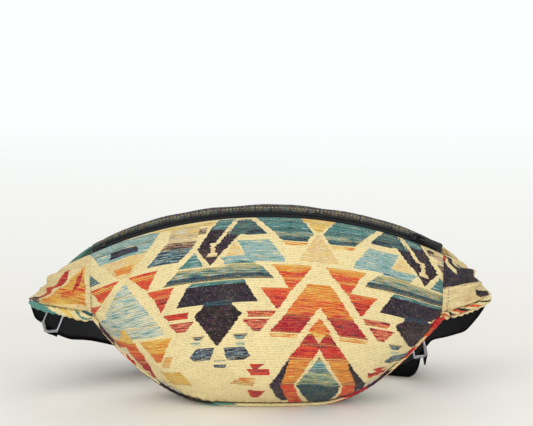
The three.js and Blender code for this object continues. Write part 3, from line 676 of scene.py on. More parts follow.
PATCHES: tuple[Patch, ...] = (
    # Flame column, right half, from the zip down
    Patch(Dye.BLUE, (231.5, 255.6), (119.5, 123.6), (160.6, 147.7), Dye.TEAL),
    Patch(Dye.NAVY, (248.4, 254.1), (119.5, 119.5), (136.1, 138.1), Dye.PLUM),
    Patch(Dye.SAND, (255.6, 276.6), (119.5, 121.2), (146.9, 128.6), Dye.CREAM),
    Patch(Dye.OCHRE, (266.3, 273.0), (119.5, 121.2), (134.4, 130.3), Dye.ORANGE),
    Patch(Dye.ORANGE, (275.0, 292.2), (128.1, 146.7), (158.5, 148.0), Dye.RED),
    Patch(Dye.ORANGE, (290.4, 299.5), (146.4, 152.7), (174.2, 169.6), Dye.RED),
    Patch(Dye.RED, (299.5, 313.1), (152.7, 160.3), (169.6, 161.3), Dye.ORANGE),
    Patch(Dye.RED, (314.4, 320.7), (161.8, 166.3), (189.5, 186.5), Dye.ORANGE),
    Patch(Dye.RED, (323.4, 333.7), (167.6, 175.6), (193.1, 184.2), Dye.SAND),
    Patch(Dye.BLUE, (285.4, 337.6), (119.5, 119.5), (124.5, 164.6), Dye.CREAM),
    Patch(Dye.YELLOW, (329.4, 344.6), (119.5, 119.5), (126.1, 135.1), Dye.OCHRE),
    Patch(Dye.ORANGE, (343.0, 358.4), (121.5, 134.4), (134.4, 145.5), Dye.RED),
    Patch(Dye.RED, (358.4, 379.9), (134.4, 158.5), (145.5, 159.3), Dye.WINE),
    Patch(Dye.OCHRE, (340.0, 353.4), (140.2, 151.0), (171.2, 165.6), Dye.YELLOW),
    Patch(Dye.ORANGE, (353.4, 362.9), (151.0, 156.3), (165.6, 161.0), Dye.OCHRE),
    Patch(Dye.OCHRE, (356.7, 366.7), (165.6, 161.0), (175.2, 171.2), Dye.CREAM),
    Patch(Dye.YELLOW, (370.8, 384.1), (159.3, 170.1), (180.5, 192.5), Dye.OCHRE),
    # Streaks under the zip
    Patch(Dye.YELLOW, (221.9, 229.2), (151.0, 159.3), (218.3, 212.4), Dye.CREAM),
    Patch(Dye.PLUM, (230.2, 234.2), (176.7, 192.5), (207.7, 206.6), Dye.CREAM),
    Patch(Dye.SAND, (227.5, 243.0), (172.0, 168.0), (202.0, 196.5), Dye.BLUE),
    Patch(Dye.PLUM, (243.0, 249.8), (168.0, 160.1), (195.5, 192.8), Dye.SAND),
    Patch(Dye.SEA, (249.8, 265.7), (160.1, 146.9), (192.8, 178.4), Dye.BLUE),
    # Hook over the tree
    Patch(Dye.DARK, (219.5, 249.2), (220.6, 196.2), (238.0, 222.4), Dye.NAVY),
    Patch(Dye.TEAL, (219.5, 230.0), (220.6, 211.8), (238.0, 231.0), Dye.SEA),
    Patch(Dye.DARK, (234.6, 249.2), (225.0, 212.0), (239.0, 225.6), Dye.NAVY),
    Patch(Dye.DARK, (248.2, 265.8), (196.6, 209.6), (226.2, 210.8), Dye.PLUM),
    Patch(Dye.SEA, (219.5, 234.2), (240.5, 229.0), (252.0, 266.3), Dye.TEAL),
    Patch(Dye.NAVY, (229.5, 234.5), (248.0, 245.0), (262.0, 266.3), Dye.SEA),
    Patch(Dye.CREAM, (219.0, 243.9), (235.6, 213.4), (240.0, 219.2)),
    Patch(Dye.CREAM, (242.8, 247.8), (209.1, 211.0), (217.0, 215.4)),
    Patch(Dye.CREAM, (247.8, 252.7), (210.7, 210.7), (215.4, 215.4)),
    Patch(Dye.CREAM, (252.7, 256.4), (207.1, 205.7), (216.4, 217.7)),
    # Pale panel beside the hook
    Patch(Dye.BLUE, (239.8, 255.7), (236.4, 245.9), (270.1, 281.7), Dye.TEAL),
    Patch(Dye.BLUE, (255.7, 262.7), (220.0, 225.3), (281.7, 285.3), Dye.TEAL),
    Patch(Dye.SAND, (243.0, 255.4), (233.6, 226.4), (234.4, 245.4), Dye.CREAM),
    # Tree
    Patch(Dye.TEAL, (251.7, 268.3), (194.1, 178.4), (195.1, 202.1), Dye.SEA),
    Patch(Dye.TEAL, (261.4, 268.7), (222.7, 227.6), (253.8, 260.8), Dye.BLUE),
    Patch(Dye.TEAL, (268.3, 276.6), (178.4, 170.2), (260.8, 268.3), Dye.OCHRE),
    Patch(Dye.SEA, (276.6, 282.9), (170.2, 163.0), (268.3, 273.7), Dye.NAVY),
    Patch(Dye.TEAL, (281.3, 286.2), (190.8, 188.2), (243.1, 245.9), Dye.SEA),
    Patch(Dye.DARK, (286.2, 305.1), (188.2, 176.6), (245.9, 258.1), Dye.NAVY),
    Patch(Dye.NAVY, (301.5, 306.1), (204.4, 203.1), (232.3, 233.3), Dye.SEA),
    Patch(Dye.DARK, (306.1, 314.8), (203.1, 194.8), (231.6, 240.9)),
    Patch(Dye.DARK, (314.8, 344.9), (194.8, 217.7), (240.9, 219.0)),
    Patch(Dye.SEA, (336.3, 340.3), (192.5, 196.1), (204.4, 201.1), Dye.BLUE),
    Patch(Dye.BLUE, (342.3, 346.3), (190.8, 193.8), (201.1, 199.8), Dye.CREAM),
    Patch(Dye.SEA, (333.7, 338.6), (232.6, 237.6), (247.5, 243.9), Dye.BLUE),
    Patch(Dye.BLUE, (341.0, 345.6), (236.6, 235.6), (245.9, 243.9), Dye.CREAM),
    Patch(Dye.NAVY, (348.1, 356.7), (195.8, 190.8), (215.0, 211.7), Dye.BLUE),
    Patch(Dye.NAVY, (356.7, 360.2), (190.8, 194.5), (211.7, 210.0), Dye.BLUE),
    Patch(Dye.NAVY, (347.6, 355.6), (222.7, 226.6), (244.2, 249.9), Dye.BLUE),
    Patch(Dye.NAVY, (355.6, 360.2), (226.6, 229.3), (249.9, 243.2), Dye.BLUE),
    Patch(Dye.BLUE, (359.9, 361.9), (214.0, 214.0), (225.0, 225.0), Dye.NAVY),
    Patch(Dye.NAVY, (364.2, 367.2), (212.7, 214.0), (226.6, 225.6), Dye.BLUE),
    # Chevron column, left half, from the zip down
    Patch(Dye.TEAL, (217.2, 232.5), (256.6, 273.5), (301.1, 315.0), Dye.SEA),
    Patch(Dye.TEAL, (232.5, 237.5), (273.5, 278.5), (315.0, 310.0), Dye.OCHRE),
    Patch(Dye.NAVY, (237.5, 240.8), (278.5, 281.8), (310.0, 307.2), Dye.TEAL),
    Patch(Dye.YELLOW, (216.6, 232.5), (301.1, 316.3), (321.3, 321.3), Dye.SAND),
    Patch(Dye.OCHRE, (241.8, 244.8), (283.2, 285.5), (307.4, 305.7), Dye.CREAM),
    Patch(Dye.SAND, (234.8, 261.7), (316.7, 299.8), (321.3, 321.3), Dye.CREAM),
    Patch(Dye.OCHRE, (265.0, 271.6), (271.2, 277.9), (313.0, 307.4), Dye.ORANGE),
    Patch(Dye.ORANGE, (271.6, 289.6), (277.9, 289.8), (307.4, 292.8), Dye.RED),
    Patch(Dye.ORANGE, (287.1, 295.4), (259.1, 265.9), (291.5, 286.8), Dye.RED),
    Patch(Dye.RED, (295.4, 308.1), (265.9, 276.5), (286.8, 277.9), Dye.ORANGE),
    Patch(Dye.RED, (310.8, 316.4), (245.4, 249.3), (275.5, 272.2), Dye.SAND),
    Patch(Dye.RED, (319.7, 331.0), (242.0, 252.0), (268.6, 260.6), Dye.SAND),
    Patch(Dye.OCHRE, (284.6, 299.5), (309.0, 297.4), (321.3, 321.3), Dye.ORANGE),
    Patch(Dye.ORANGE, (299.5, 314.4), (297.4, 285.5), (321.3, 321.3), Dye.OCHRE),
    Patch(Dye.RED, (314.4, 333.7), (285.5, 270.2), (321.3, 321.3), Dye.WINE),
    Patch(Dye.OCHRE, (333.7, 337.3), (269.9, 271.2), (299.8, 297.8), Dye.CREAM),
    Patch(Dye.CREAM, (307.0, 337.6), (318.3, 296.1), (321.3, 321.3)),
    Patch(Dye.ORANGE, (314.8, 331.0), (321.3, 308.7), (323.0, 323.0), Dye.OCHRE),
    Patch(Dye.OCHRE, (331.0, 336.7), (308.4, 315.0), (323.0, 323.0), Dye.YELLOW),
    Patch(Dye.SAND, (336.7, 345.3), (315.0, 321.6), (323.0, 323.0), Dye.YELLOW),
    Patch(Dye.RED, (332.7, 345.9), (307.4, 298.1), (312.4, 322.0), Dye.WINE),
    Patch(Dye.RED, (345.9, 359.5), (298.1, 288.1), (322.0, 311.4), Dye.ORANGE),
    Patch(Dye.DARK, (359.5, 384.1), (287.5, 268.6), (289.1, 280.2), Dye.NAVY),
    Patch(Dye.DARK, (384.1, 401.0), (268.6, 280.2), (280.2, 289.1), Dye.NAVY),
    Patch(Dye.OCHRE, (359.5, 384.1), (289.1, 280.2), (310.7, 295.1), Dye.ORANGE),
    Patch(Dye.ORANGE, (384.1, 402.7), (280.2, 289.5), (295.1, 301.1), Dye.RED),
    Patch(Dye.CREAM, (345.3, 385.1), (322.3, 293.4), (323.0, 323.0)),
    Patch(Dye.CREAM, (385.1, 404.3), (293.4, 302.7), (323.0, 323.0)),
    Patch(Dye.SEA, (349.6, 359.2), (324.0, 316.7), (323.0, 323.0), Dye.TEAL),
    Patch(Dye.TEAL, (359.2, 372.5), (316.7, 306.4), (323.0, 323.0), Dye.BLUE),
    Patch(Dye.TEAL, (372.5, 385.7), (306.4, 297.1), (323.0, 323.0), Dye.YELLOW),
    Patch(Dye.SEA, (385.7, 402.7), (297.1, 308.0), (323.0, 323.0), Dye.DARK),
    # Broken bars at the foot of the cloth
    Patch(Dye.RED, (363.5, 367.8), (248.5, 252.5), (264.4, 257.5), Dye.ORANGE),
    Patch(Dye.RED, (368.8, 373.8), (247.5, 251.5), (269.1, 269.8), Dye.ORANGE),
    Patch(Dye.OCHRE, (376.5, 385.4), (239.2, 228.6), (254.5, 252.5), Dye.CREAM),
    Patch(Dye.RED, (390.0, 398.3), (246.5, 252.2), (263.8, 257.5), Dye.ORANGE),
)


# The photograph's row, the dye and the strength of each row of zigzags
ZIGZAG_ROWS = (
    (224.0, Dye.SEA, 0.6), (232.0, Dye.DARK, 0.7), (267.5, Dye.YELLOW, 0.9),
    (281.0, Dye.YELLOW, 0.8), (291.0, Dye.YELLOW, 0.45), (317.0, Dye.OCHRE, 0.6),
    (335.0, Dye.OCHRE, 0.9), (345.0, Dye.YELLOW, 0.5), (360.0, Dye.YELLOW, 0.85),
    (371.0, Dye.WINE, 0.5), (385.0, Dye.NAVY, 0.7),
)
# The dark border beside the zip: its rows in the cloth, in millimetres, and its threads
BORDER_ROWS = (-11.0, 0.4)
STRIP_BANDS = (
    (0.0, Dye.NAVY), (0.38, Dye.DARK), (0.44, Dye.OLIVE), (0.49, Dye.SEA), (0.53, Dye.BROWN),
    (0.58, Dye.DARK), (0.63, Dye.NAVY),
)


class ClothPlan:
    """Tells where a spot of the photograph lies on the bag's cloth."""

    def __init__(self, points: Points, cloth: Points) -> None:
        """Holds the places in the photograph of a grid of points, and their places in the cloth."""
        self.seen = EYE.project(points).reshape(-1, 2)
        self.cloth = cloth.reshape(-1, 2)

    def find(self, column: float, row: float) -> Points:
        """The place in the cloth of a spot of the photograph, in millimetres."""
        off = np.sum((self.seen - np.array([column, row])) ** 2, -1)
        return self.cloth[int(np.argmin(off))] / MM


@dataclass(frozen=True)
class WovenPattern:
    """The patterned jacquard cloth of the two panels."""

    plan: ClothPlan
    rows_repeat: float = 224.0
    thread: float = 1.4
    ragged: float = 1.3
    tooth: float = 1.25

    def build(self) -> Material:
        """Makes the material.

        Returns:
            The cloth with its fields of colour, threads with painted shade between them, and bump.
        """
        surface = Surface("woven_pattern", 0.82)
        x, y = surface.cloth_place()
        thread_number = y.step("DIVIDE", self.thread).step("FLOOR")
        shake = surface.chance(thread_number).scaled(self.ragged, -self.ragged / 2)
        first = float(self.plan.find(Axis.FLAME.value, 300)[0])
        last = float(self.plan.find(Axis.CHEVRON.value, 300)[0])
        across = (x + shake - first).step("PINGPONG", last - first)
        row = y.wrapped(0.0, self.rows_repeat)
        streak = surface.noise(surface.joined(x * 0.075, y * 1.3), 1.0, 1.5)
        ground = (streak > 0.60) * 0.35
        dyed = streaked(surface, streak, [(patch.dye, patch.second) for patch in PATCHES])
        ribs = surface.noise(surface.joined(x * 0.55, y * 0.06), 1.0, 1.0)
        border = surface.bands(ribs, STRIP_BANDS)
        colour = surface.mixed(ground, Dye.CREAM.linear(), Dye.SAND.linear())
        for patch in PATCHES:
            mask = self.field(patch, across, row, first)
            colour = surface.mixed(mask, colour, dyed[patch.dye, patch.second])
        colour = self.zigzags(surface, colour, x, y)
        colour = surface.mixed(y.within(*BORDER_ROWS), colour, border)
        weave(surface, x, y, colour, self.thread)
        return surface.material

    def zigzags(
        self, surface: Surface, colour: Socket, x: Value, y: Value
    ) -> Socket:
        """Rows of fine zigzag threads across the fields.

        Args:
            surface: The material.
            colour: The cloth's colour so far.
            x: The place along the cloth, in millimetres.
            y: The row in the cloth, in millimetres.

        Returns:
            The colour with the zigzags.
        """
        tooth = x.step("PINGPONG", self.tooth)
        threads = (y + tooth).wave(self.tooth * 1.6) > 0.55
        grey = surface.tree.nodes.new("ShaderNodeRGBToBW")
        surface.tree.links.new(colour, grey.inputs[0])
        threads = threads * Value(surface.tree, grey.outputs[0]).within(0.05, 0.6)
        for photo_row, dye, share in ZIGZAG_ROWS:
            row = float(self.plan.find(Axis.CHEVRON.value, photo_row)[1])
            band = (y + tooth * 0.5).within(row - 1.6, row + 1.6)
            colour = surface.mixed(band * threads * share, colour, dye.linear())
        return colour

    def field(self, patch: Patch, across: Value, row: Value, first: float) -> Value:
        """1 inside a patch.

        Args:
            patch: The field of colour.
            across: The distance from the flame column's axis, in millimetres.
            row: The row in the cloth, in millimetres.
            first: The flame column's axis, in millimetres.

        Returns:
            The mask.
        """
        spots = [
            [self.plan.find(column, patch_row) for column in (left, right)]
            for patch_row, left, right in zip(patch.rows, patch.left, patch.right)
        ]
        (top_left, top_right), (low_left, low_right) = spots
        rows = (float(top_left[1] + top_right[1]) / 2, float(low_left[1] + low_right[1]) / 2)
        left = (float(top_left[0]) - first, float(low_left[0]) - first)
        right = (float(top_right[0]) - first, float(low_right[0]) - first)
        return four_sided(row, across, rows, left, right)


def four_sided(row: Value, across: Value, rows: Pair, left: Pair, right: Pair) -> Value:
    """1 inside a four-sided field.

    Args:
        row: The place along the field.
        across: The place across the field.
        rows: Where the field begins and ends.
        left: Its lower limit across, at the beginning and at the end.
        right: Its upper limit across, at the beginning and at the end.

    Returns:
        The mask.
    """
    share = row.scaled(1 / (rows[1] - rows[0]), -rows[0] / (rows[1] - rows[0]))
    low = share.scaled(left[1] - left[0], left[0])
    high = share.scaled(right[1] - right[0], right[0])
    return share.within(0.0, 1.0) * (across > low) * (across < high)


DUST = (0.42, 0.34, 0.24, 1.0)
DARK_FLECK = (0.16, 0.1, 0.06, 1.0)
PALE_FLECK = (0.7, 0.58, 0.4, 1.0)
# Painted shade: the near-black colour laid into the dips between threads
THREAD_GAP_SHADE = (0.06, 0.04, 0.035, 1.0)


def weave(surface: Surface, x: Value, y: Value, colour: Socket, thread: float) -> None:
    """Shades a cloth's colour with painted shade in the dips between its threads, and raises them.

    Args:
        surface: The material.
        x: The place along the threads, in millimetres.
        y: The place across the threads, in millimetres.
        colour: The cloth's colour.
        thread: The width of a thread, in millimetres.
    """
    profile = y.wave(thread)
    warp = x.wave(thread * 0.75, 0.6)
    cell = x.snapped(thread * 0.7) * 13.7 + y.snapped(thread) * 91.3
    grain = surface.chance(cell)
    fade = surface.noise(surface.joined(x * 0.05, y * 0.05), 1.0, 3.0).scaled(0.3, -0.135)
    dull = surface.mixed(fade.step("MAXIMUM", 0.0), colour, DUST)
    darker = surface.mixed((grain < 0.18) * 0.17, dull, DARK_FLECK)
    lighter = surface.mixed((grain > 0.88) * 0.09, darker, PALE_FLECK)
    # Painted shade: the colour darkens towards near-black where the thread profile dips, as shade would
    # fall there
    gap = profile.scaled(-1.0, 1.0).step("POWER", 3.0) * 0.34
    surface.painted(surface.mixed(gap, lighter, THREAD_GAP_SHADE))
    surface.setting("Specular IOR Level", 0.2)
    surface.setting("Sheen Weight", 0.05)
    surface.setting("Sheen Roughness", 0.5)
    surface.raised(profile * 0.8 + warp * 0.3, 0.4 * MM, 0.9)


@dataclass(frozen=True)
class Streamer:
    """A field of a wing's colour that narrows towards the strap, in the photograph's pixels.

    It goes from the first column to the second, between its top and bottom rows there.
    """

    dye: Dye
    columns: Pair
    top: Pair
    bottom: Pair
    second: Dye | None = None


@dataclass(frozen=True)
class FanCloth:
    """A wing's cloth, whose colours run together towards the strap."""

    name: str
    plan: ClothPlan
    ground: Dye
    second: Dye
    streamers: tuple[Streamer, ...] = ()
    thread: float = 1.4

    def build(self) -> Material:
        """Makes the material.

        Returns:
            The cloth with its streamers, threads with painted shade between them, and bump.
        """
        surface = Surface(self.name, 0.85)
        along, down = surface.cloth_place("fan")
        x, y = surface.cloth_place()
        ragged = surface.noise(surface.joined(x * 0.12, down * 0.05), 1.0, 2.0).scaled(60, -30)
        streak = surface.noise(surface.joined(x * 0.05, down * 0.075), 1.0, 1.5)
        dyed = streaked(surface, streak, [(one.dye, one.second) for one in self.streamers])
        colour = surface.mixed(streak > 0.56, self.ground.linear(), self.second.linear())
        for streamer in self.streamers:
            first, last = streamer.columns
            spots = [
                self.plan.find(column, row)
                for column, row in zip((first, last) * 2, streamer.top + streamer.bottom)
            ]
            ends = (float(spots[0][0] + spots[2][0]) / 2, float(spots[1][0] + spots[3][0]) / 2)
            top = (float(spots[0][1]), float(spots[1][1]))
            bottom = (float(spots[2][1]), float(spots[3][1]))
            mask = four_sided(along, down + ragged, ends, top, bottom)
            colour = surface.mixed(mask, colour, dyed[streamer.dye, streamer.second])
        weave(surface, y, x, colour, self.thread)
        return surface.material


@dataclass(frozen=True)
class RolledCloth:
    """Cloth turned over an edge, so that its pattern runs round it at a slant."""

    name: str
    stops: tuple[tuple[float, Dye], ...]
    length: float
    slant: float = 0.0
    thread: float = 1.4

    def build(self) -> Material:
        """Makes the material.

        Returns:
            The cloth in bands along the edge.
        """
        surface = Surface(self.name, 0.82)
        along, around = surface.cloth_place()
        shake = surface.noise(surface.joined(along * 0.4, around * 0.9), 1.0, 1.0).scaled(5, -2.5)
        place = (along + around * self.slant + shake) * (1 / self.length)
        colour = surface.bands(place, self.stops)
        weave(surface, around, along, colour, self.thread)
        return surface.material


@dataclass(frozen=True)
class Webbing:
    """Black woven webbing."""

    colour: Triple = (13, 14, 17)
    groove_shade_colour: Triple = (5, 5, 7)
    rib: float = 1.3

    def build(self) -> Material:
        """Makes the material.

        Returns:
            The webbing, with its ribs, its slanting weave and painted shade in the grooves between them.
        """
        surface = Surface("webbing", 0.62)
        across, along = surface.cloth_place()
        slant = (across.size() + along).wave(self.rib * 2)
        ribs = across.wave(self.rib)
        height = slant * 0.6 + ribs * 0.4
        fuzz = surface.noise(surface.joined(across * 0.8, along * 0.8), 1.0, 3.0)
        # Painted shade: the colour goes to a darker one where the weave lies low, in its grooves
        share = height * 0.5 + fuzz * 0.3
        dark = linear_colour(self.groove_shade_colour)
        surface.painted(surface.mixed(share, dark, linear_colour(self.colour)))
        surface.setting("Specular IOR Level", 0.07)
        surface.raised(height, 0.3 * MM, 0.8)
        return surface.material


@dataclass(frozen=True)
class PlainWeave:
    """Plain woven cloth or tape of one colour."""

    name: str
    colour: Triple
    thread: float
    depth: float = 0.15

    def build(self) -> Material:
        """Makes the material.

        Returns:
            The cloth, with crossing threads and a painted highlight on their crests.
        """
        surface = Surface(self.name, 0.8)
        x, y, z = surface.vector_parts(surface.object_place())
        first = ((x + y) * 1000).wave(self.thread)
        second = ((z - y) * 1000).wave(self.thread)
        height = first * 0.5 + second * 0.5
        # Painted highlight: a lighter copy of the colour on the crests of the crossing threads
        lit = linear_colour(tuple(min(255.0, c * 1.25) for c in self.colour))
        surface.painted(surface.mixed(height, linear_colour(self.colour), lit))
        surface.raised(height, self.depth * MM, 0.7)
        return surface.material


@dataclass(frozen=True)
class Metal:
    """Plated or enamelled metal with wear."""

    name: str
    colour: Triple
    wear: Triple
    roughness: float
    metallic: float

    def build(self) -> Material:
        """Makes the material.

        Returns:
            The metal, with fine scratches and worn spots.
        """
        surface = Surface(self.name, self.roughness, self.metallic)
        place = surface.object_place()
        spots = surface.noise(place, 900.0, 4.0)
        worn = (spots > 0.63) * 0.5
        surface.painted(surface.mixed(worn, linear_colour(self.colour), linear_colour(self.wear)))
        rough = surface.noise(place, 300.0, 3.0).scaled(0.3, self.roughness - 0.15)
        surface.tree.links.new(rough.socket, surface.shader.inputs["Roughness"])
        surface.raised(surface.noise(place, 1400.0, 2.0), 0.03 * MM, 0.5)
        return surface.material


@dataclass(frozen=True)
class Moulded:
    """Black moulded plastic with a fine grain."""

    name: str = "moulded_plastic"
    colour: Triple = (26, 27, 29)

    def build(self) -> Material:
        """Makes the material.

        Returns:
            The plastic, with a fine eroded grain.
        """
        surface = Surface(self.name, 0.45)
        place = surface.object_place()
        grain = surface.noise(place, 1600.0, 3.0)
        lit = linear_colour(tuple(c * 1.5 for c in self.colour))
        surface.painted(surface.mixed(grain, linear_colour(self.colour), lit))
        surface.raised(grain, 0.04 * MM, 0.6)
        return surface.material


@dataclass(frozen=True)
class Thread:
    """Sewing thread."""

    name: str
    colour: Triple

    def build(self) -> Material:
        """Makes the material.

        Returns:
            The thread, with its twist and painted shade in its grooves.
        """
        surface = Surface(self.name, 0.7)
        x, y, z = surface.vector_parts(surface.object_place())
        twist = ((x + y + z) * 1000).wave(0.4)
        # Painted shade: a darker copy of the thread's colour in the grooves of its twist
        dark = linear_colour(tuple(c * 0.7 for c in self.colour))
        surface.painted(surface.mixed(twist, dark, linear_colour(self.colour)))
        surface.raised(twist, 0.05 * MM, 0.6)
        return surface.material


def ripples(places: Sequence[Points], waves: Sequence[tuple[float, ...]]) -> Points:
    """A sum of slow waves over a piece of cloth.

    Args:
        places: The coordinates that the waves run along.
        waves: For each wave its share, its turns along each coordinate, and its shift.

    Returns:
        The sum at each place.
    """
    total = np.zeros_like(places[0])
    for share, *turns, shift in waves:
        phase = sum(p * t for p, t in zip(places, turns)) * 2 * math.pi + shift
        total = total + share * np.sin(phase)
    return total


def wavering(place: Points, length: float, sway: float, sway_length: float) -> Points:
    """A wave from -1 to 1 whose crests lie unevenly."""
    return np.sin(2 * math.pi * place / length + sway * np.sin(place / sway_length))


def resampled(grid: Points, rows: int, columns: int) -> Points:
    """A grid of numbers, brought to another count of rows and columns."""
    old_rows, old_columns = (np.linspace(0, 1, count) for count in grid.shape)
    across = np.array([np.interp(np.linspace(0, 1, columns), old_columns, line) for line in grid])
    return np.array([np.interp(np.linspace(0, 1, rows), old_rows, line) for line in across.T]).T


def blurred(grid: Points, reach: int) -> Points:
    """A grid of numbers, averaged over its neighbours."""
    for axis in (0, 1):
        margin = [(reach, reach) if k == axis else (0, 0) for k in (0, 1)]
        padded = np.pad(grid, margin, mode="edge")
        places = np.arange(grid.shape[axis])
        parts = [np.take(padded, places + k, axis=axis) for k in range(2 * reach + 1)]
        grid = np.mean(parts, axis=0)
    return grid


@dataclass(frozen=True)
class Settling:
    """A short cloth simulation: a panel with spare cloth, held all round, wrinkles as it is filled.

    Cloth on the floor, lower than held_below in metres, is held too. The limit of the
    wrinkles is in millimetres.
    """

    held_below: float = 0.003
    quality: int = 5
    mass: float = 0.2
    stiffness: float = 0.35
    spare: float = 0.035
    pressure: float = 4.0
    last_frame: int = 14
    limit: float = 1.2
    blur: int = 5

    def wrinkles(self, points: Points, normals: Points) -> Points:
        """Finds how far each point moves out of the smooth face.

        Args:
            points: A grid of points in metres.
            normals: The way out of the face at each.

        Returns:
            The distances in millimetres, without the panel's slow swelling.
        """
        piece = new_piece("settling_cloth", points, grid_faces(points, normals))
        held = np.ones(points.shape[:2], bool)
        held[1:-1, 1:-1] = points[1:-1, 1:-1, 2] < self.held_below
        pins = piece.vertex_groups.new(name="held")
        pins.add(np.flatnonzero(held).tolist(), 1.0, "REPLACE")
        cloth = piece.modifiers.new("cloth", "CLOTH")
        cloth.collision_settings.use_collision = False
        settings = cloth.settings
        settings.quality = self.quality
        settings.mass = self.mass
        settings.bending_stiffness = self.stiffness
        settings.vertex_group_mass = "held"
        settings.shrink_min = -self.spare
        settings.use_pressure = True
        settings.uniform_pressure_force = self.pressure
        settings.effector_weights.gravity = 0
        scene = bpy.context.scene
        for step in range(1, self.last_frame + 1):
            scene.frame_set(step)
        apply_modifiers(piece)
        moved = np.zeros(points.size)
        piece.data.vertices.foreach_get("co", moved)
        bpy.data.objects.remove(piece)
        scene.frame_set(1)
        out = np.sum((moved.reshape(points.shape) - points) * normals, -1) / MM
        out = out - blurred(out, self.blur)
        log.info("wrinkles from %.1f to %.1f mm", out.min(), out.max())
        return np.clip(out, -self.limit, self.limit)


# The share, turns along x and down the cloth, and shift of each wave of a panel's dents
DENT_WAVES = ((0.5, 0.011, 0.008, 0.4), (0.35, -0.017, 0.013, 2.0), (0.25, 0.026, -0.02, 4.1))


@dataclass
class Panel:
    """The front or back panel, with its soft dents and the puckers at its seams.

    Its sizes are in millimetres. The reach of the puckers is from the bottom, the zip and
    the sides, and the roll's span is where it lies below the zip and how wide it is. Cloth
    that lies lower than flat_below stays flat.
    """

    name: str
    face: int
    columns: int = 161
    rows: int = 121
    dent: float = 1.5
    pucker: float = 0.9
    pucker_length: float = 7.0
    side_pucker_length: float = 9.0
    top_puckers: Pair = (0.55, 0.15)
    pucker_reach: Triple = (11.0, 9.0, 13.0)
    dent_margin: float = 14.0
    held_margin: float = 3.0
    lean: float = 0.2
    roll: float = 1.7
    roll_span: Pair = (9.0, 6.0)
    flat_below: float = 4.0
    limits: Pair = (-1.6, 4)
    outer: Points | None = None

    def grid(self) -> tuple[Points, Points, Points]:
        """The panel's smooth outer face.

        Returns:
            The points in metres, their place in the cloth in metres, and x.
        """
        half = FORM.half_width
        x, v = np.meshgrid(np.linspace(-half, half, self.columns), np.linspace(0, 1, self.rows))
        surface = FORM.front if self.face < 0 else FORM.back
        points = surface(x, v) * MM
        down = lengths_down(points)
        if self.face > 0:
            down = -down
        drop = points[0, self.columns // 2, 2] - points[:1, :, 2]
        lean = self.lean if self.face < 0 else 0.0
        return points, np.stack([x * MM, down + drop * lean], -1), x

    def relief(self, x: Points, down: Points) -> Points:
        """How far each point stands out of the smooth face, in millimetres."""
        to_top, to_bottom = down, down[-1:] - down
        to_side = FORM.half_width - np.abs(x)
        from_edge = np.minimum(np.minimum(to_top, to_bottom), to_side)
        free = 1 - np.exp(-((from_edge / self.dent_margin) ** 2))
        slow = ripples([x, down], DENT_WAVES)
        bottom_reach, top_reach, side_reach = self.pucker_reach
        top_share = self.top_puckers[0 if self.face < 0 else 1]
        seam = np.exp(-to_bottom / bottom_reach) + top_share * np.exp(-to_top / top_reach)
        crease = wavering(x, self.pucker_length, sway=2.1, sway_length=17)
        side_crease = wavering(down, self.side_pucker_length, sway=1.7, sway_length=13)
        beside = np.exp(-to_side / side_reach) * side_crease
        held = np.clip(from_edge / self.held_margin, 0, 1)
        roll_place, roll_width = self.roll_span
        height = self.roll if self.face > 0 else 0.0
        roll = np.exp(-(((to_top - roll_place) / roll_width) ** 2)) * height
        return free * slow * self.dent + held * (roll + self.pucker * (seam * crease + beside))

    def make(self, material: Material) -> Piece:
        """Makes the panel.

        Args:
            material: Its cloth.

        Returns:
            The panel, riding on the bag.
        """
        points, cloth, x = self.grid()
        middle = np.array(BAG_MIDDLE)
        normals = outward_normals(points, middle)
        down = lengths_down(points) / MM
        relief = self.relief(x, down)
        coarse = (slice(None, None, 4), slice(None, None, 3))
        folds = Settling().wrinkles(points[coarse], normals[coarse])
        away_from_zip = np.clip(down / 30 - 0.2, 0, 1)
        relief = relief + resampled(folds, self.rows, self.columns) * away_from_zip
        relief[points[..., 2] < self.flat_below * MM] = 0
        points = points + normals * (np.clip(relief, *self.limits) * MM)[..., None]
        points[..., 2] = np.maximum(points[..., 2], 0)
        self.outer = points
        piece = sheet_piece(f"{self.name}_cloth", points, cloth, FORM.cloth * MM, middle)
        piece.data.materials.append(material)
        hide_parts(self.name)
        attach(piece, "bag")
        return piece


# The share, turns down and along the wing, and shift of each wave of its gathers
GATHER_WAVES = ((1.0, 3.2, 0.35, 0.8), (0.5, 6.1, -0.5, 0.0))


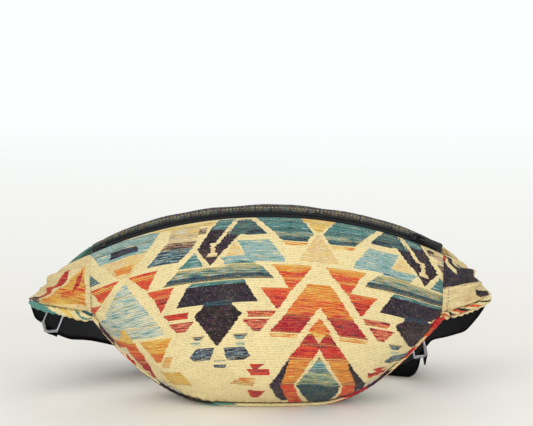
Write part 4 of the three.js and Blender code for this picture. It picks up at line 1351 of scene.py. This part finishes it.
@dataclass
class WingLayer:
    """One layer of a wing, gathered towards the strap.

    The gathers, the puckers' height, the drop and the limits are in millimetres. The margin,
    the seam's reach and start, and the lap are shares of the layer's own length or height.
    """

    node: str
    wing: WingEnd
    face: int
    rows: int = 71
    columns: int = 61
    gather: float = 2.2
    pucker: float = 0.7
    puckers: int = 11
    margin: float = 0.08
    seam_reach: float = 0.09
    seam_start: float = 0.02
    lap: float = 0.14
    lap_drop: float = 3.0
    limits: Pair = (-1.2, 5)
    outer: Points | None = None

    def grid(self) -> tuple[Points, Points, Points]:
        """The layer's smooth outer face.

        Returns:
            The points in metres, and u and v.
        """
        last = 1 + self.lap if self.face < 0 else 1.0
        u, v = np.meshgrid(np.linspace(0, last, self.columns), np.linspace(0, 1, self.rows))
        points = FORM.wing(self.wing, self.face, u, v) * MM
        past = np.clip((u - 1) / self.lap, 0, 1)
        points[..., 2] -= self.lap_drop * MM * past**2
        return points, u, v

    def plan(self) -> ClothPlan:
        """Where the photograph's spots lie on the layer, in thousandths of its sides."""
        points, u, v = self.grid()
        return ClothPlan(points, np.stack([u, v], -1))

    def relief(self, u: Points, v: Points) -> Points:
        """How far each point stands out of the smooth face, in millimetres."""
        held = np.clip(v / self.margin, 0, 1) * np.clip((1 - v) / self.margin, 0, 1)
        grow = np.sin(math.pi * np.clip(u, 0, 1) ** 1.3) ** 0.8
        folds = ripples([v, u], GATHER_WAVES)
        near_seam = np.exp(-u / self.seam_reach) * np.clip(u / self.seam_start, 0, 1)
        seam = near_seam * np.sin(2 * math.pi * v * self.puckers + 2)
        return held * (grow * folds * self.gather + self.pucker * seam)

    def make(self, material: Material) -> Piece:
        """Makes the layer.

        Args:
            material: Its cloth.

        Returns:
            The layer, riding on the bag.
        """
        points, u, v = self.grid()
        other = FORM.wing(self.wing, -self.face, u, v) * MM
        middle = (points + other).mean((0, 1)) / 2
        normals = outward_normals(points, middle)
        relief = np.clip(self.relief(u, v), *self.limits) * MM
        points = points + normals * relief[..., None]
        self.outer = points
        along = lengths_down(points.transpose(1, 0, 2)).T
        uv = np.stack([along, lengths_down(points)], -1)
        piece = sheet_piece(f"{self.node}_cloth", points, uv, FORM.cloth * MM, middle)
        share = np.stack([u, v], -1).reshape(-1, 2)
        write_uv(piece, "fan", np.concatenate([share, share]))
        piece.data.materials.append(material)
        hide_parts(self.node)
        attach(piece, "bag")
        return piece


def joined_mesh(mesh: bpy.types.Mesh) -> bmesh.types.BMesh:
    """A mesh opened for editing, with the corners that lie on each other joined."""
    work = bmesh.new()
    work.from_mesh(mesh)
    bmesh.ops.remove_doubles(work, verts=work.verts, dist=1e-6)
    return work


class LoftReader:
    """Reads the rings of a lofted solid of the fixed model, from one end to the other."""

    def __init__(self, node: Piece, near: Triple, sides: int) -> None:
        """Walks the node's mesh from the ring that is nearest to a point, in metres."""
        self.sides = sides
        work = joined_mesh(node.data)
        start = Vector(near)
        first = sorted(work.verts, key=lambda vert: (vert.co - start).length)[:sides]
        seen = set(first)
        ring = first
        self.rings = [np.array([vert.co[:] for vert in ring])]
        while True:
            following = []
            for vert in ring:
                for edge in vert.link_edges:
                    other = edge.other_vert(vert)
                    if other not in seen:
                        seen.add(other)
                        following.append(other)
            if len(following) < sides:
                break
            ring = following
            self.rings.append(np.array([vert.co[:] for vert in ring]))
        work.free()

    def centres(self) -> Points:
        """The middle of each ring, in metres."""
        return np.array([ring.mean(0) for ring in self.rings])

    def widths(self) -> Points:
        """Half of each ring's longest side, as a vector that doesn't flip."""
        found = []
        before = None
        for ring in self.rings:
            offset = ring - ring.mean(0)
            _, _, axes = np.linalg.svd(offset, full_matrices=False)
            way = axes[0] * np.abs(offset @ axes[0]).max()
            if before is not None and way @ before < 0:
                way = -way
            found.append(way)
            before = way
        return np.array(found)


def smooth_stops(points: Points, times: int) -> Points:
    """Puts more points on a smooth line through the given ones."""
    padded = np.concatenate([[2 * points[0] - points[1]], points, [2 * points[-1] - points[-2]]])
    found = []
    for i in range(len(points) - 1):
        a, b, c, d = padded[i : i + 4]
        for k in range(times):
            t = k / times
            tangent_b, tangent_c = (c - a) / 2, (d - b) / 2
            t2, t3 = t * t, t * t * t
            found.append(
                b * (2 * t3 - 3 * t2 + 1) + tangent_b * (t3 - 2 * t2 + t)
                + c * (3 * t2 - 2 * t3) + tangent_c * (t3 - t2)
            )
    return np.array([*found, points[-1]])


def relaxed(points: Points, times: int) -> Points:
    """A line of points with its corners eased and its ends kept."""
    for _ in range(times):
        eased = points.copy()
        eased[1:-1] = (points[:-2] + 2 * points[1:-1] + points[2:]) / 4
        points = eased
    return points


def even_stops(points: Points, spacing: float, others: Points) -> tuple[Points, Points]:
    """Spaces a line's points evenly, with the vectors that belong to them."""
    reach = reach_along(points)
    stops = np.linspace(0, reach[-1], max(2, int(reach[-1] / spacing)))

    def spaced(item: Points) -> Points:
        """One of the two, at the even stops."""
        return np.stack([np.interp(stops, reach, item[:, k]) for k in range(3)], -1)

    return spaced(points), spaced(others)


@dataclass
class Ribbon:
    """A flat band that follows stops, with rounded edges."""

    name: str
    thickness: float
    across: int = 12

    def section(self, half: float) -> Points:
        """The band's outline across, as distance from its middle and height.

        Args:
            half: Half of its width.

        Returns:
            The outline's points, round the band.
        """
        round_edge = min(self.thickness / 2, half / 2)
        places = np.linspace(-half + round_edge, half - round_edge, self.across)
        top = np.stack([places, np.full_like(places, self.thickness / 2)], -1)
        bottom = np.stack([places[::-1], np.full_like(places, -self.thickness / 2)], -1)
        end = np.array([[half, 0.0]])
        return np.concatenate([top, end, bottom, -end])

    def make(self, centres: Points, widths: Points) -> Piece:
        """Makes the band.

        Args:
            centres: The points of its middle line, in metres.
            widths: Half of its width at each, as vectors.

        Returns:
            The closed band, with a UV map across and along it.
        """
        along = unit(np.gradient(centres, axis=0))
        out = unit(np.cross(along, widths))
        outline = self.section(float(np.linalg.norm(widths, axis=1).mean()))
        across = unit(widths)[:, None] * outline[None, :, :1]
        points = centres[:, None] + across + out[:, None] * outline[None, :, 1:]
        piece = new_piece(self.name, points, tube_faces(*points.shape[:2]))
        places = np.broadcast_arrays(outline[:, 0], reach_along(centres)[:, None])
        write_uv(piece, "cloth", np.stack(places, -1))
        make_outward(piece)
        return piece


def make_outward(piece: Piece) -> None:
    """Turns a closed piece's faces outwards."""
    work = bmesh.new()
    work.from_mesh(piece.data)
    bmesh.ops.recalc_face_normals(work, faces=work.faces)
    work.to_mesh(piece.data)
    work.free()


@dataclass
class Roll:
    """A round edge of turned cloth along a path, pinched by its stitches."""

    name: str
    radius: float
    sides: int = 16
    pinch: float = 0.14
    pinch_length: float = 6.0
    swell: Pair = (0.0, 0.0)
    swell_length: float = 24.0

    def make(self, centres: Points) -> Piece:
        """Makes the roll.

        Args:
            centres: The points of its middle line, in metres.

        Returns:
            The closed roll, with a UV map along and round it.
        """
        along = unit(np.gradient(centres, axis=0))
        side = unit(np.cross(along, np.array([0, 0, 1.0])))
        up = np.cross(side, along)
        reach = reach_along(centres)
        turn = np.linspace(0, 2 * math.pi, self.sides + 1)[:-1]
        phase = reach / MM / self.pinch_length * 2 * math.pi
        wave = np.sin(phase[:, None] + 1.3 * np.sin(phase / 5)[:, None] + turn[None] * 0.8)
        radius = self.radius * (1 + self.pinch * (wave - 1) / 2 * 1.6)
        left = reach[-1] - reach
        first, last = (np.exp(-((gone / MM / self.swell_length) ** 2)) for gone in (reach, left))
        radius = radius * (1 + self.swell[0] * first + self.swell[1] * last)[:, None]
        ends = np.clip(np.minimum(reach, left) / (2 * self.radius), 0, 1)
        radius = radius * np.sqrt(1 - (1 - ends) ** 2 * 0.7)[:, None]
        points = (
            centres[:, None]
            + side[:, None] * (radius * np.cos(turn))[..., None]
            + up[:, None] * (radius * np.sin(turn))[..., None]
        )
        piece = new_piece(self.name, points, tube_faces(*radius.shape))
        places = np.broadcast_arrays(reach[:, None], turn * self.radius)
        write_uv(piece, "cloth", np.stack(places, -1))
        make_outward(piece)
        return piece


class NodeTree:
    """A Geometry Nodes tree being built."""

    def __init__(self, name: str, inputs: Sequence[tuple[str, str, float | None]]) -> None:
        """Makes the tree with its named inputs."""
        self.tree = bpy.data.node_groups.new(name, "GeometryNodeTree")
        self.tree.interface.new_socket("Geometry", in_out="INPUT", socket_type="NodeSocketGeometry")
        self.tree.interface.new_socket("Geometry", in_out="OUTPUT", socket_type="NodeSocketGeometry")
        self.ids: dict[str, str] = {}
        for label, kind, default in inputs:
            socket = self.tree.interface.new_socket(label, in_out="INPUT", socket_type=kind)
            if default is not None:
                socket.default_value = default
            self.ids[label] = socket.identifier
        self.entry = self.tree.nodes.new("NodeGroupInput")
        self.exit = self.tree.nodes.new("NodeGroupOutput")

    def node(self, kind: str, settings: dict | None = None, **inputs: object) -> bpy.types.Node:
        """Adds a node.

        Args:
            kind: The node's type.
            settings: Its properties.
            inputs: What goes to its inputs, by name with _ for a space.

        Returns:
            The node.
        """
        node = self.tree.nodes.new(kind)
        for name, value in (settings or {}).items():
            setattr(node, name, value)
        for name, value in inputs.items():
            socket = node.inputs[name.replace("_", " ")]
            if isinstance(value, Socket):
                self.tree.links.new(value, socket)
            else:
                socket.default_value = value
        return node

    def spaced_line(self) -> Socket:
        """Points along the piece's lines, one pitch apart."""
        line = self.node("GeometryNodeMeshToCurve", Mesh=self.entry.outputs["Geometry"])
        by_length = {"mode": "LENGTH"}
        pitch = self.entry.outputs["Pitch"]
        spaced = self.node("GeometryNodeResampleCurve", by_length, Curve=line.outputs[0], Length=pitch)
        return spaced.outputs[0]

    def close(self, instances: Socket) -> None:
        """Ends the tree with plain geometry in its material."""
        real = self.node("GeometryNodeRealizeInstances", Geometry=instances)
        dressed = self.node(
            "GeometryNodeSetMaterial",
            Geometry=real.outputs[0],
            Material=self.entry.outputs["Material"],
        )
        self.tree.links.new(dressed.outputs[0], self.exit.inputs[0])


class StitchRow:
    """Rows of stitches along lines."""

    def __init__(self) -> None:
        """Builds the tree."""
        kinds = [
            ("Pitch", "NodeSocketFloat", 3.2 * MM),
            ("Length", "NodeSocketFloat", 1.15 * MM),
            ("Radius", "NodeSocketFloat", 0.28 * MM),
            ("Material", "NodeSocketMaterial", None),
        ]
        self.nodes = NodeTree("stitch_row", kinds)
        nodes, entry = self.nodes, self.nodes.entry
        spaced = nodes.spaced_line()
        bead = nodes.node("GeometryNodeMeshUVSphere", Segments=8, Rings=6, Radius=1.0)
        size = nodes.node(
            "ShaderNodeCombineXYZ",
            X=entry.outputs["Radius"],
            Y=entry.outputs["Radius"],
            Z=entry.outputs["Length"],
        )
        tangent = nodes.node("GeometryNodeInputTangent")
        turn = nodes.node("FunctionNodeAlignRotationToVector", {"axis": "Z"}, Vector=tangent.outputs[0])
        placed = nodes.node(
            "GeometryNodeInstanceOnPoints",
            Points=spaced,
            Instance=bead.outputs[0],
            Rotation=turn.outputs[0],
            Scale=size.outputs[0],
        )
        nodes.close(placed.outputs[0])

    def sew(
        self, name: str, lines: Sequence[Points], material: Material, body: str
    ) -> None:
        """Sews stitches along lines.

        Args:
            name: The piece's name.
            lines: Points along each line, in metres.
            material: The thread.
            body: What the stitches ride on.
        """
        piece = line_piece(name, lines)
        run_tree(piece, self.nodes, {"Material": material})
        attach(piece, body)


def line_piece(name: str, lines: Sequence[Points]) -> Piece:
    """Makes an object of bare lines."""
    mesh = bpy.data.meshes.new(name)
    points, edges = [], []
    for line in lines:
        start = len(points)
        points += [tuple(map(float, p)) for p in line]
        edges += [(start + i, start + i + 1) for i in range(len(line) - 1)]
    mesh.from_pydata(points, edges, [])
    return linked(name, mesh)


def line_at(points: Points, depth: float) -> Points:
    """A line across a grid of points, at one distance in metres from its first row."""
    down = lengths_down(points)
    columns = range(points.shape[1])
    return np.array([[np.interp(depth, down[:, c], points[:, c, k]) for k in range(3)] for c in columns])


def run_tree(piece: Piece, nodes: NodeTree, inputs: dict[str, object]) -> None:
    """Runs a tree on a piece and keeps its result as a plain mesh."""
    modifier = piece.modifiers.new(nodes.tree.name, "NODES")
    modifier.node_group = nodes.tree
    for label, value in inputs.items():
        modifier[nodes.ids[label]] = value
    apply_modifiers(piece)


def zip_angles(box: Sequence[Sequence[float]], inset: float, count: int) -> Points:
    """Even angles on the zip's arc, in radians, from one end of a box to the other."""
    first, last = (math.asin(corner[0] / MM / FORM.radius) for corner in box)
    return np.linspace(first + inset, last - inset, count)


@dataclass
class Zip:
    """The zip: its tapes and its coils of teeth."""

    pitch: float = 1.25
    wire: float = 0.36
    row_inner: float = 0.9
    row_width: float = 2.4
    row_height: float = 1.7
    tape_under: float = 5.0
    tape_fall: float = 0.05
    tape_thickness: float = 0.6

    def coil_tree(self) -> NodeTree:
        """Builds the tree that winds a coil along a line."""
        kinds = [
            ("Pitch", "NodeSocketFloat", self.pitch * MM),
            ("Wire", "NodeSocketFloat", self.wire * MM),
            ("Loop", "NodeSocketVector", None),
            ("Across", "NodeSocketVector", None),
            ("Material", "NodeSocketMaterial", None),
        ]
        nodes = NodeTree("coil_row", kinds)
        entry = nodes.entry
        spaced = nodes.spaced_line()
        ring = nodes.node("GeometryNodeCurvePrimitiveCircle", Resolution=12, Radius=1.0)
        flat = nodes.node("GeometryNodeTransform", Geometry=ring.outputs[0], Scale=entry.outputs["Loop"])
        thick = entry.outputs["Wire"]
        wire = nodes.node("GeometryNodeCurvePrimitiveCircle", Resolution=6, Radius=thick)
        section = wire.outputs[0]
        loop = nodes.node("GeometryNodeCurveToMesh", Curve=flat.outputs[0], Profile_Curve=section)
        across = entry.outputs["Across"]
        sideways = nodes.node("FunctionNodeAlignRotationToVector", {"axis": "X"}, Vector=across)
        tangent = nodes.node("GeometryNodeInputTangent")
        turn = nodes.node(
            "FunctionNodeAlignRotationToVector",
            {"axis": "Z", "pivot_axis": "X"},
            Rotation=sideways.outputs[0],
            Vector=tangent.outputs[0],
        )
        placed = nodes.node(
            "GeometryNodeInstanceOnPoints",
            Points=spaced,
            Instance=loop.outputs[0],
            Rotation=turn.outputs[0],
        )
        nodes.close(placed.outputs[0])
        return nodes

    def make(self, tape: Material, coil: Material) -> None:
        """Makes the coils and the tapes.

        Args:
            tape: The tapes' weave.
            coil: The coils' plastic.
        """
        nodes = self.coil_tree()
        across = FORM.zip_axes()[1]
        for side, word in ((-1, "front"), (1, "back")):
            angles = zip_angles(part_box(f"zip_teeth_{word}"), inset=0.002, count=220)
            lift = FORM.gap + self.row_height / 2
            middle = side * (self.row_inner + self.row_width / 2)
            line = FORM.zip_point(angles, middle, lift) * MM
            piece = line_piece(f"zip_coil_{word}", [line])
            width, height = ((full / 2 - self.wire) * MM for full in (self.row_width, self.row_height))
            loop = (width, height, 1.0)
            run_tree(piece, nodes, {"Loop": loop, "Across": tuple(across), "Material": coil})
            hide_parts(f"zip_teeth_{word}")
            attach(piece, "bag")
            self.make_tape(word, side, tape)

    def make_tape(self, word: str, side: int, material: Material) -> None:
        """Makes one woven tape, from its teeth to under the panel.

        Args:
            word: Which tape it is.
            side: Which way it reaches from the teeth.
            material: Its weave.
        """
        angles = zip_angles(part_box(f"zip_tape_{word}"), inset=0.001, count=160)
        stops = np.linspace(self.row_inner, FORM.opening_half + self.tape_under, 12)
        sunk = np.clip(stops - FORM.opening_half, 0, None) ** 2 * self.tape_fall
        points = np.array([
            FORM.zip_point(angles, side * across, -drop) for across, drop in zip(stops, sunk)
        ]) * MM
        uv = np.stack(np.broadcast_arrays(angles[None] * FORM.radius * MM, stops[:, None] * MM), -1)
        middle = points.mean((0, 1)) - FORM.zip_axes()[0]
        piece = sheet_piece(f"zip_tape_{word}_weave", points, uv, self.tape_thickness * MM, middle)
        piece.data.materials.append(material)
        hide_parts(f"zip_tape_{word}")
        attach(piece, "bag")


WIRE_VOXEL = 0.42 * MM
WIRE_SMOOTHINGS = 5


def smooth_wire(frame: dict, node: str, body: str, material: Material) -> None:
    """Replaces a faceted wire part with a round one.

    Args:
        frame: The fixed model.
        node: The part's node.
        body: The body that it rides on.
        material: Its metal.
    """
    mesh = frame["nodes"][node].data.copy()
    mesh.name = f"{node}_wire"
    work = joined_mesh(mesh)
    work.to_mesh(mesh)
    work.free()
    mesh.materials.clear()
    piece = linked(f"{node}_wire", mesh)
    even = piece.modifiers.new("even", "REMESH")
    even.mode = "VOXEL"
    even.voxel_size = WIRE_VOXEL
    soft = piece.modifiers.new("soft", "SMOOTH")
    soft.factor = 0.5
    soft.iterations = WIRE_SMOOTHINGS
    apply_modifiers(piece)
    piece.data.polygons.foreach_set("use_smooth", [True] * len(piece.data.polygons))
    piece.data.materials.append(material)
    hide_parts(node)
    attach(piece, body)


def dress(node: Piece, material: Material) -> None:
    """Gives a node of the fixed model its material."""
    if not node.material_slots:
        node.data.materials.append(material)
    for slot in node.material_slots:
        slot.material = material


class Studio:
    """The pale floor, the lamps and the sky."""

    floor_colour: Triple = (236, 233, 226)
    sky_colour: Triple = (252, 255, 255)
    fade: Pair = (0.25, 1.6)
    half_size: float = 14.0
    world_colour: Shade = (0.97, 0.985, 1.0, 1.0)
    world_strength: float = 0.68
    aim: Triple = (0.0, 0.0, 0.08)
    lamps = (
        ("key", (-1.3, -1.5, 2.2), 1.6, 16),
        ("fill", (1.6, -1.3, 1.5), 1.8, 9),
        ("rim", (0.5, 1.6, 1.9), 1.5, 12),
        ("low", (0.0, -1.1, 0.1), 0.8, 6.5),
    )

    def floor(self) -> None:
        """Makes the floor, which fades into the pale background."""
        surface = Surface("pale_floor", 0.9)
        surface.painted(linear_colour(self.floor_colour))
        tree = surface.tree
        _, y, _ = surface.vector_parts(surface.object_place())
        near, far = self.fade
        share = y.scaled(1 / (far - near), -near / (far - near))
        share = share.step("MINIMUM", 1.0).step("MAXIMUM", 0.0)
        glow = tree.nodes.new("ShaderNodeEmission")
        glow.inputs["Color"].default_value = linear_colour(self.sky_colour)
        path = tree.nodes.new("ShaderNodeLightPath")
        seen = Value(tree, path.outputs["Is Camera Ray"]) * share.step("POWER", 0.7)
        mix = tree.nodes.new("ShaderNodeMixShader")
        tree.links.new(seen.socket, mix.inputs[0])
        tree.links.new(surface.shader.outputs[0], mix.inputs[1])
        tree.links.new(glow.outputs[0], mix.inputs[2])
        tree.links.new(mix.outputs[0], tree.nodes["Material Output"].inputs["Surface"])
        corners = np.array([[-1, -1, 0], [1, -1, 0], [1, 1, 0], [-1, 1, 0]]) * self.half_size
        floor = new_piece("floor", corners, [(0, 1, 2, 3)])
        floor.data.materials.append(surface.material)

    def light(self) -> None:
        """Makes the lamps and the sky."""
        for name, place, size, power in self.lamps:
            data = bpy.data.lights.new(name, "AREA")
            data.size = size
            data.energy = power
            lamp = linked(name, data)
            lamp.location = place
            aim = Vector(self.aim) - Vector(place)
            lamp.rotation_euler = aim.to_track_quat("-Z", "Y").to_euler()
        world = bpy.data.worlds.new("studio")
        world.use_nodes = True
        back = world.node_tree.nodes["Background"]
        back.inputs[0].default_value = self.world_colour
        back.inputs[1].default_value = self.world_strength
        bpy.context.scene.world = world
        bpy.context.scene.view_settings.view_transform = "Standard"


LEFT_STREAMERS = (
    Streamer(Dye.RED, (69.8, 31.6), (268.8, 299.2), (279.3, 304.1), Dye.ORANGE),
    Streamer(Dye.OCHRE, (85.0, 43.2), (265.5, 298.8), (306.1, 303.5), Dye.YELLOW),
    Streamer(Dye.ORANGE, (85.0, 61.5), (286.2, 292.9), (292.9, 297.8), Dye.OCHRE),
    Streamer(Dye.RED, (82.4, 72.7), (268.0, 286.2), (277.9, 292.9), Dye.ORANGE),
    Streamer(Dye.PLUM, (40.7, 27.5), (297.0, 297.8), (303.6, 306.1)),
    Streamer(Dye.CREAM, (85.0, 38.2), (306.1, 301.5), (314.4, 309.5), Dye.YELLOW),
)
RIGHT_STREAMERS = (
    Streamer(Dye.DARK, (444.0, 483.0), (249.8, 273.0), (288.7, 279.3), Dye.NAVY),
    Streamer(Dye.CREAM, (445.7, 456.5), (257.2, 270.5), (263.8, 274.6)),
    Streamer(Dye.CREAM, (449.8, 459.3), (253.9, 265.5), (258.0, 269.7)),
    Streamer(Dye.ORANGE, (440.7, 445.7), (249.8, 257.2), (258.0, 263.8), Dye.RED),
    Streamer(Dye.DARK, (477.2, 487.5), (288.7, 290.4), (297.8, 299.5)),
)
LEFT_HEM_BANDS = (
    (0.0, Dye.CREAM), (0.1, Dye.TEAL), (0.2, Dye.CREAM), (0.27, Dye.SEA), (0.36, Dye.CREAM),
    (0.44, Dye.TEAL), (0.5, Dye.CREAM), (0.62, Dye.YELLOW), (0.72, Dye.CREAM), (0.9, Dye.TEAL),
)
RIGHT_HEM_BANDS = (
    (0.0, Dye.ORANGE), (0.1, Dye.CREAM), (0.18, Dye.DARK), (0.28, Dye.CREAM),
    (0.36, Dye.ORANGE), (0.46, Dye.DARK), (0.56, Dye.CREAM), (0.66, Dye.ORANGE),
    (0.76, Dye.CREAM), (0.86, Dye.DARK), (0.94, Dye.CREAM),
)
WELT_BANDS = (
    (0.0, Dye.CREAM), (0.04, Dye.PLUM), (0.1, Dye.CREAM), (0.14, Dye.RED), (0.17, Dye.CREAM),
    (0.24, Dye.DARK), (0.38, Dye.TEAL), (0.43, Dye.CREAM), (0.69, Dye.RED), (0.75, Dye.PLUM),
    (0.82, Dye.CREAM), (0.86, Dye.RED), (0.9, Dye.CREAM), (0.93, Dye.ORANGE), (0.96, Dye.RED),
)


@dataclass
class Strap:
    """One side's webbing, from the wing to the buckle and back."""

    node: str
    start: Triple
    ease: int = 6
    sewn: int = 3
    finer: int = 4
    spacing: float = 1.2

    def make(self, frame: dict, material: Material) -> Piece:
        """Makes the webbing on the solid's own line.

        Args:
            frame: The fixed model.
            material: The webbing.

        Returns:
            The band.
        """
        reader = LoftReader(frame["nodes"][self.node], self.start, sides=4)
        centres, widths = reader.centres()[self.sewn :], reader.widths()[self.sewn :]
        log.info("%s has %d rings", self.node, len(centres))
        band = Ribbon(f"{self.node}_webbing", FORM.webbing * MM)
        centres, widths = smooth_stops(centres, self.finer), smooth_stops(widths, self.finer)
        stops, sides = even_stops(centres, self.spacing * MM, widths)
        piece = band.make(relaxed(stops, self.ease), relaxed(sides, self.ease))
        piece.data.materials.append(material)
        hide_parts(self.node)
        return piece


# How far a roll reaches past its solid's first ring, and how high it is lifted, in millimetres
HEM_START = (6.0, 1.1)
WELT_START = (4.0, 0.0)
# How far it reaches past the last ring
ROLL_END = 3


def make_rolls(frame: dict) -> None:
    """Makes the two hems and the welt along the bottom seam."""
    plans = (
        ("hem_left", "wing_cloth", 3.2, (0.9, 0.0), (-0.153, 0.0, 0.08), LEFT_HEM_BANDS),
        ("hem_right", "wing_cloth", 3.6, (0.35, 0.0), (0.153, 0.0, 0.08), RIGHT_HEM_BANDS),
        ("bottom_welt", "cloth", 1.5, (0.6, 1.5), (-0.151, 0.013, 0.07), WELT_BANDS),
    )
    for node, slot, radius, swell, near, bands in plans:
        reader = LoftReader(frame["nodes"][node], near, sides=8)
        centres = smooth_stops(reader.centres(), times=6)
        start, finish = unit(centres[0] - centres[2]), unit(centres[-1] - centres[-3])
        reach, lift = HEM_START if node.startswith("hem") else WELT_START
        ends = centres[0] + start * reach * MM, centres[-1] + finish * ROLL_END * MM
        centres = np.concatenate([ends[:1], centres, ends[1:]])
        centres[:, 2] += lift * MM
        length = float(reach_along(centres)[-1]) / MM
        piece = Roll(f"{node}_roll", radius * MM, swell=swell).make(centres)
        cloth = RolledCloth(f"{node}_cloth", bands, length, slant=2.0)
        piece.data.materials.append(cloth.build())
        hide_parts(node)
        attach(piece, "bag")
        log.info("%s has %d rings", node, len(reader.rings))


# How far stitches lie from their edge, in metres, and which of the edge's points they run over
TOP_STITCH_INSET = 3.2 * MM
TOP_STITCH_SPAN = slice(3, -3)
WING_STITCH_INSET = 6 * MM
WING_STITCH_SPAN = slice(28, -8)


def main() -> None:
    """Builds the whole scene in order."""
    logging.basicConfig(level=logging.INFO)
    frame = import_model()
    EYE.make()
    studio = Studio()
    studio.floor()
    studio.light()
    front = Panel("front_panel", -1)
    points, cloth, _ = front.grid()
    pattern = WovenPattern(ClothPlan(points, cloth)).build()
    front.make(pattern)
    back = Panel("back_panel", 1)
    back.make(pattern)
    log.info("panels made")
    rows = StitchRow()
    sand_thread = Thread("sand_thread", (214, 190, 140)).build()
    top_lines = [
        line_at(panel.outer, TOP_STITCH_INSET)[TOP_STITCH_SPAN] for panel in (front, back)
    ]
    rows.sew("zip_top_stitches", top_lines, sand_thread, "bag")
    for word, wing, grounds, seconds, streamers in (
        ("left", FORM.left, (Dye.CREAM, Dye.TEAL), (Dye.SAND, Dye.OLIVE), LEFT_STREAMERS),
        ("right", FORM.right, (Dye.CREAM, Dye.CREAM), (Dye.SAND, Dye.OCHRE), RIGHT_STREAMERS),
    ):
        faces = (("front", -1), ("back", 1))
        layers = [WingLayer(f"wing_{word}_{side}", wing, face) for side, face in faces]
        for place, layer in enumerate(layers):
            used = streamers if layer.face < 0 else ()
            dyes = grounds[place], seconds[place]
            cloth = FanCloth(f"{layer.node}_weave", layer.plan(), *dyes, used)
            layer.make(cloth.build())
            if layer.node == "wing_right_front":
                upright = layer.outer.transpose(1, 0, 2)
                seam = line_at(upright, WING_STITCH_INSET)[WING_STITCH_SPAN]
                navy_thread = Thread("navy_thread", (60, 66, 96)).build()
                rows.sew("wing_seam_stitches", [seam], navy_thread, "bag")
    log.info("wings made")
    make_rolls(frame)
    webbing = Webbing().build()
    left = Strap("strap_left", (-0.19, 0.056, 0.085)).make(frame, webbing)
    right = Strap("strap_right", (0.178, 0.058, 0.09)).make(frame, webbing)
    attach(left, "bag")
    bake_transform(right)
    log.info("straps made")
    tape = PlainWeave("zip_tape_weave", (30, 31, 34), thread=0.7).build()
    coil = Moulded("coil_plastic", (22, 22, 24)).build()
    Zip().make(tape, coil)
    cotton = PlainWeave("lining_cotton", (48, 58, 74), thread=0.5).build()
    enamel = Metal(
        "black_enamel", (24, 24, 26), wear=(96, 92, 86), roughness=0.38, metallic=0.35
    ).build()
    nickel = Metal(
        "bright_nickel", (158, 159, 164), wear=(128, 126, 124), roughness=0.26, metallic=1.0
    ).build()
    plastic = Moulded().build()
    for name, material in (
        ("lining_front", cotton), ("lining_back", cotton),
        ("zip_slider", enamel), ("zip_pull", enamel),
        ("zip_stop_front", enamel), ("zip_stop_back", enamel), ("zip_stop_end", enamel),
        ("buckle_female", plastic), ("buckle_male", plastic),
    ):
        dress(frame["nodes"][name], material)
    for word in ("left", "right"):
        smooth_wire(frame, f"glide_{word}", f"adjuster_{word}", nickel)
    log.info("fittings dressed")


if __name__ == "__main__":
    main()
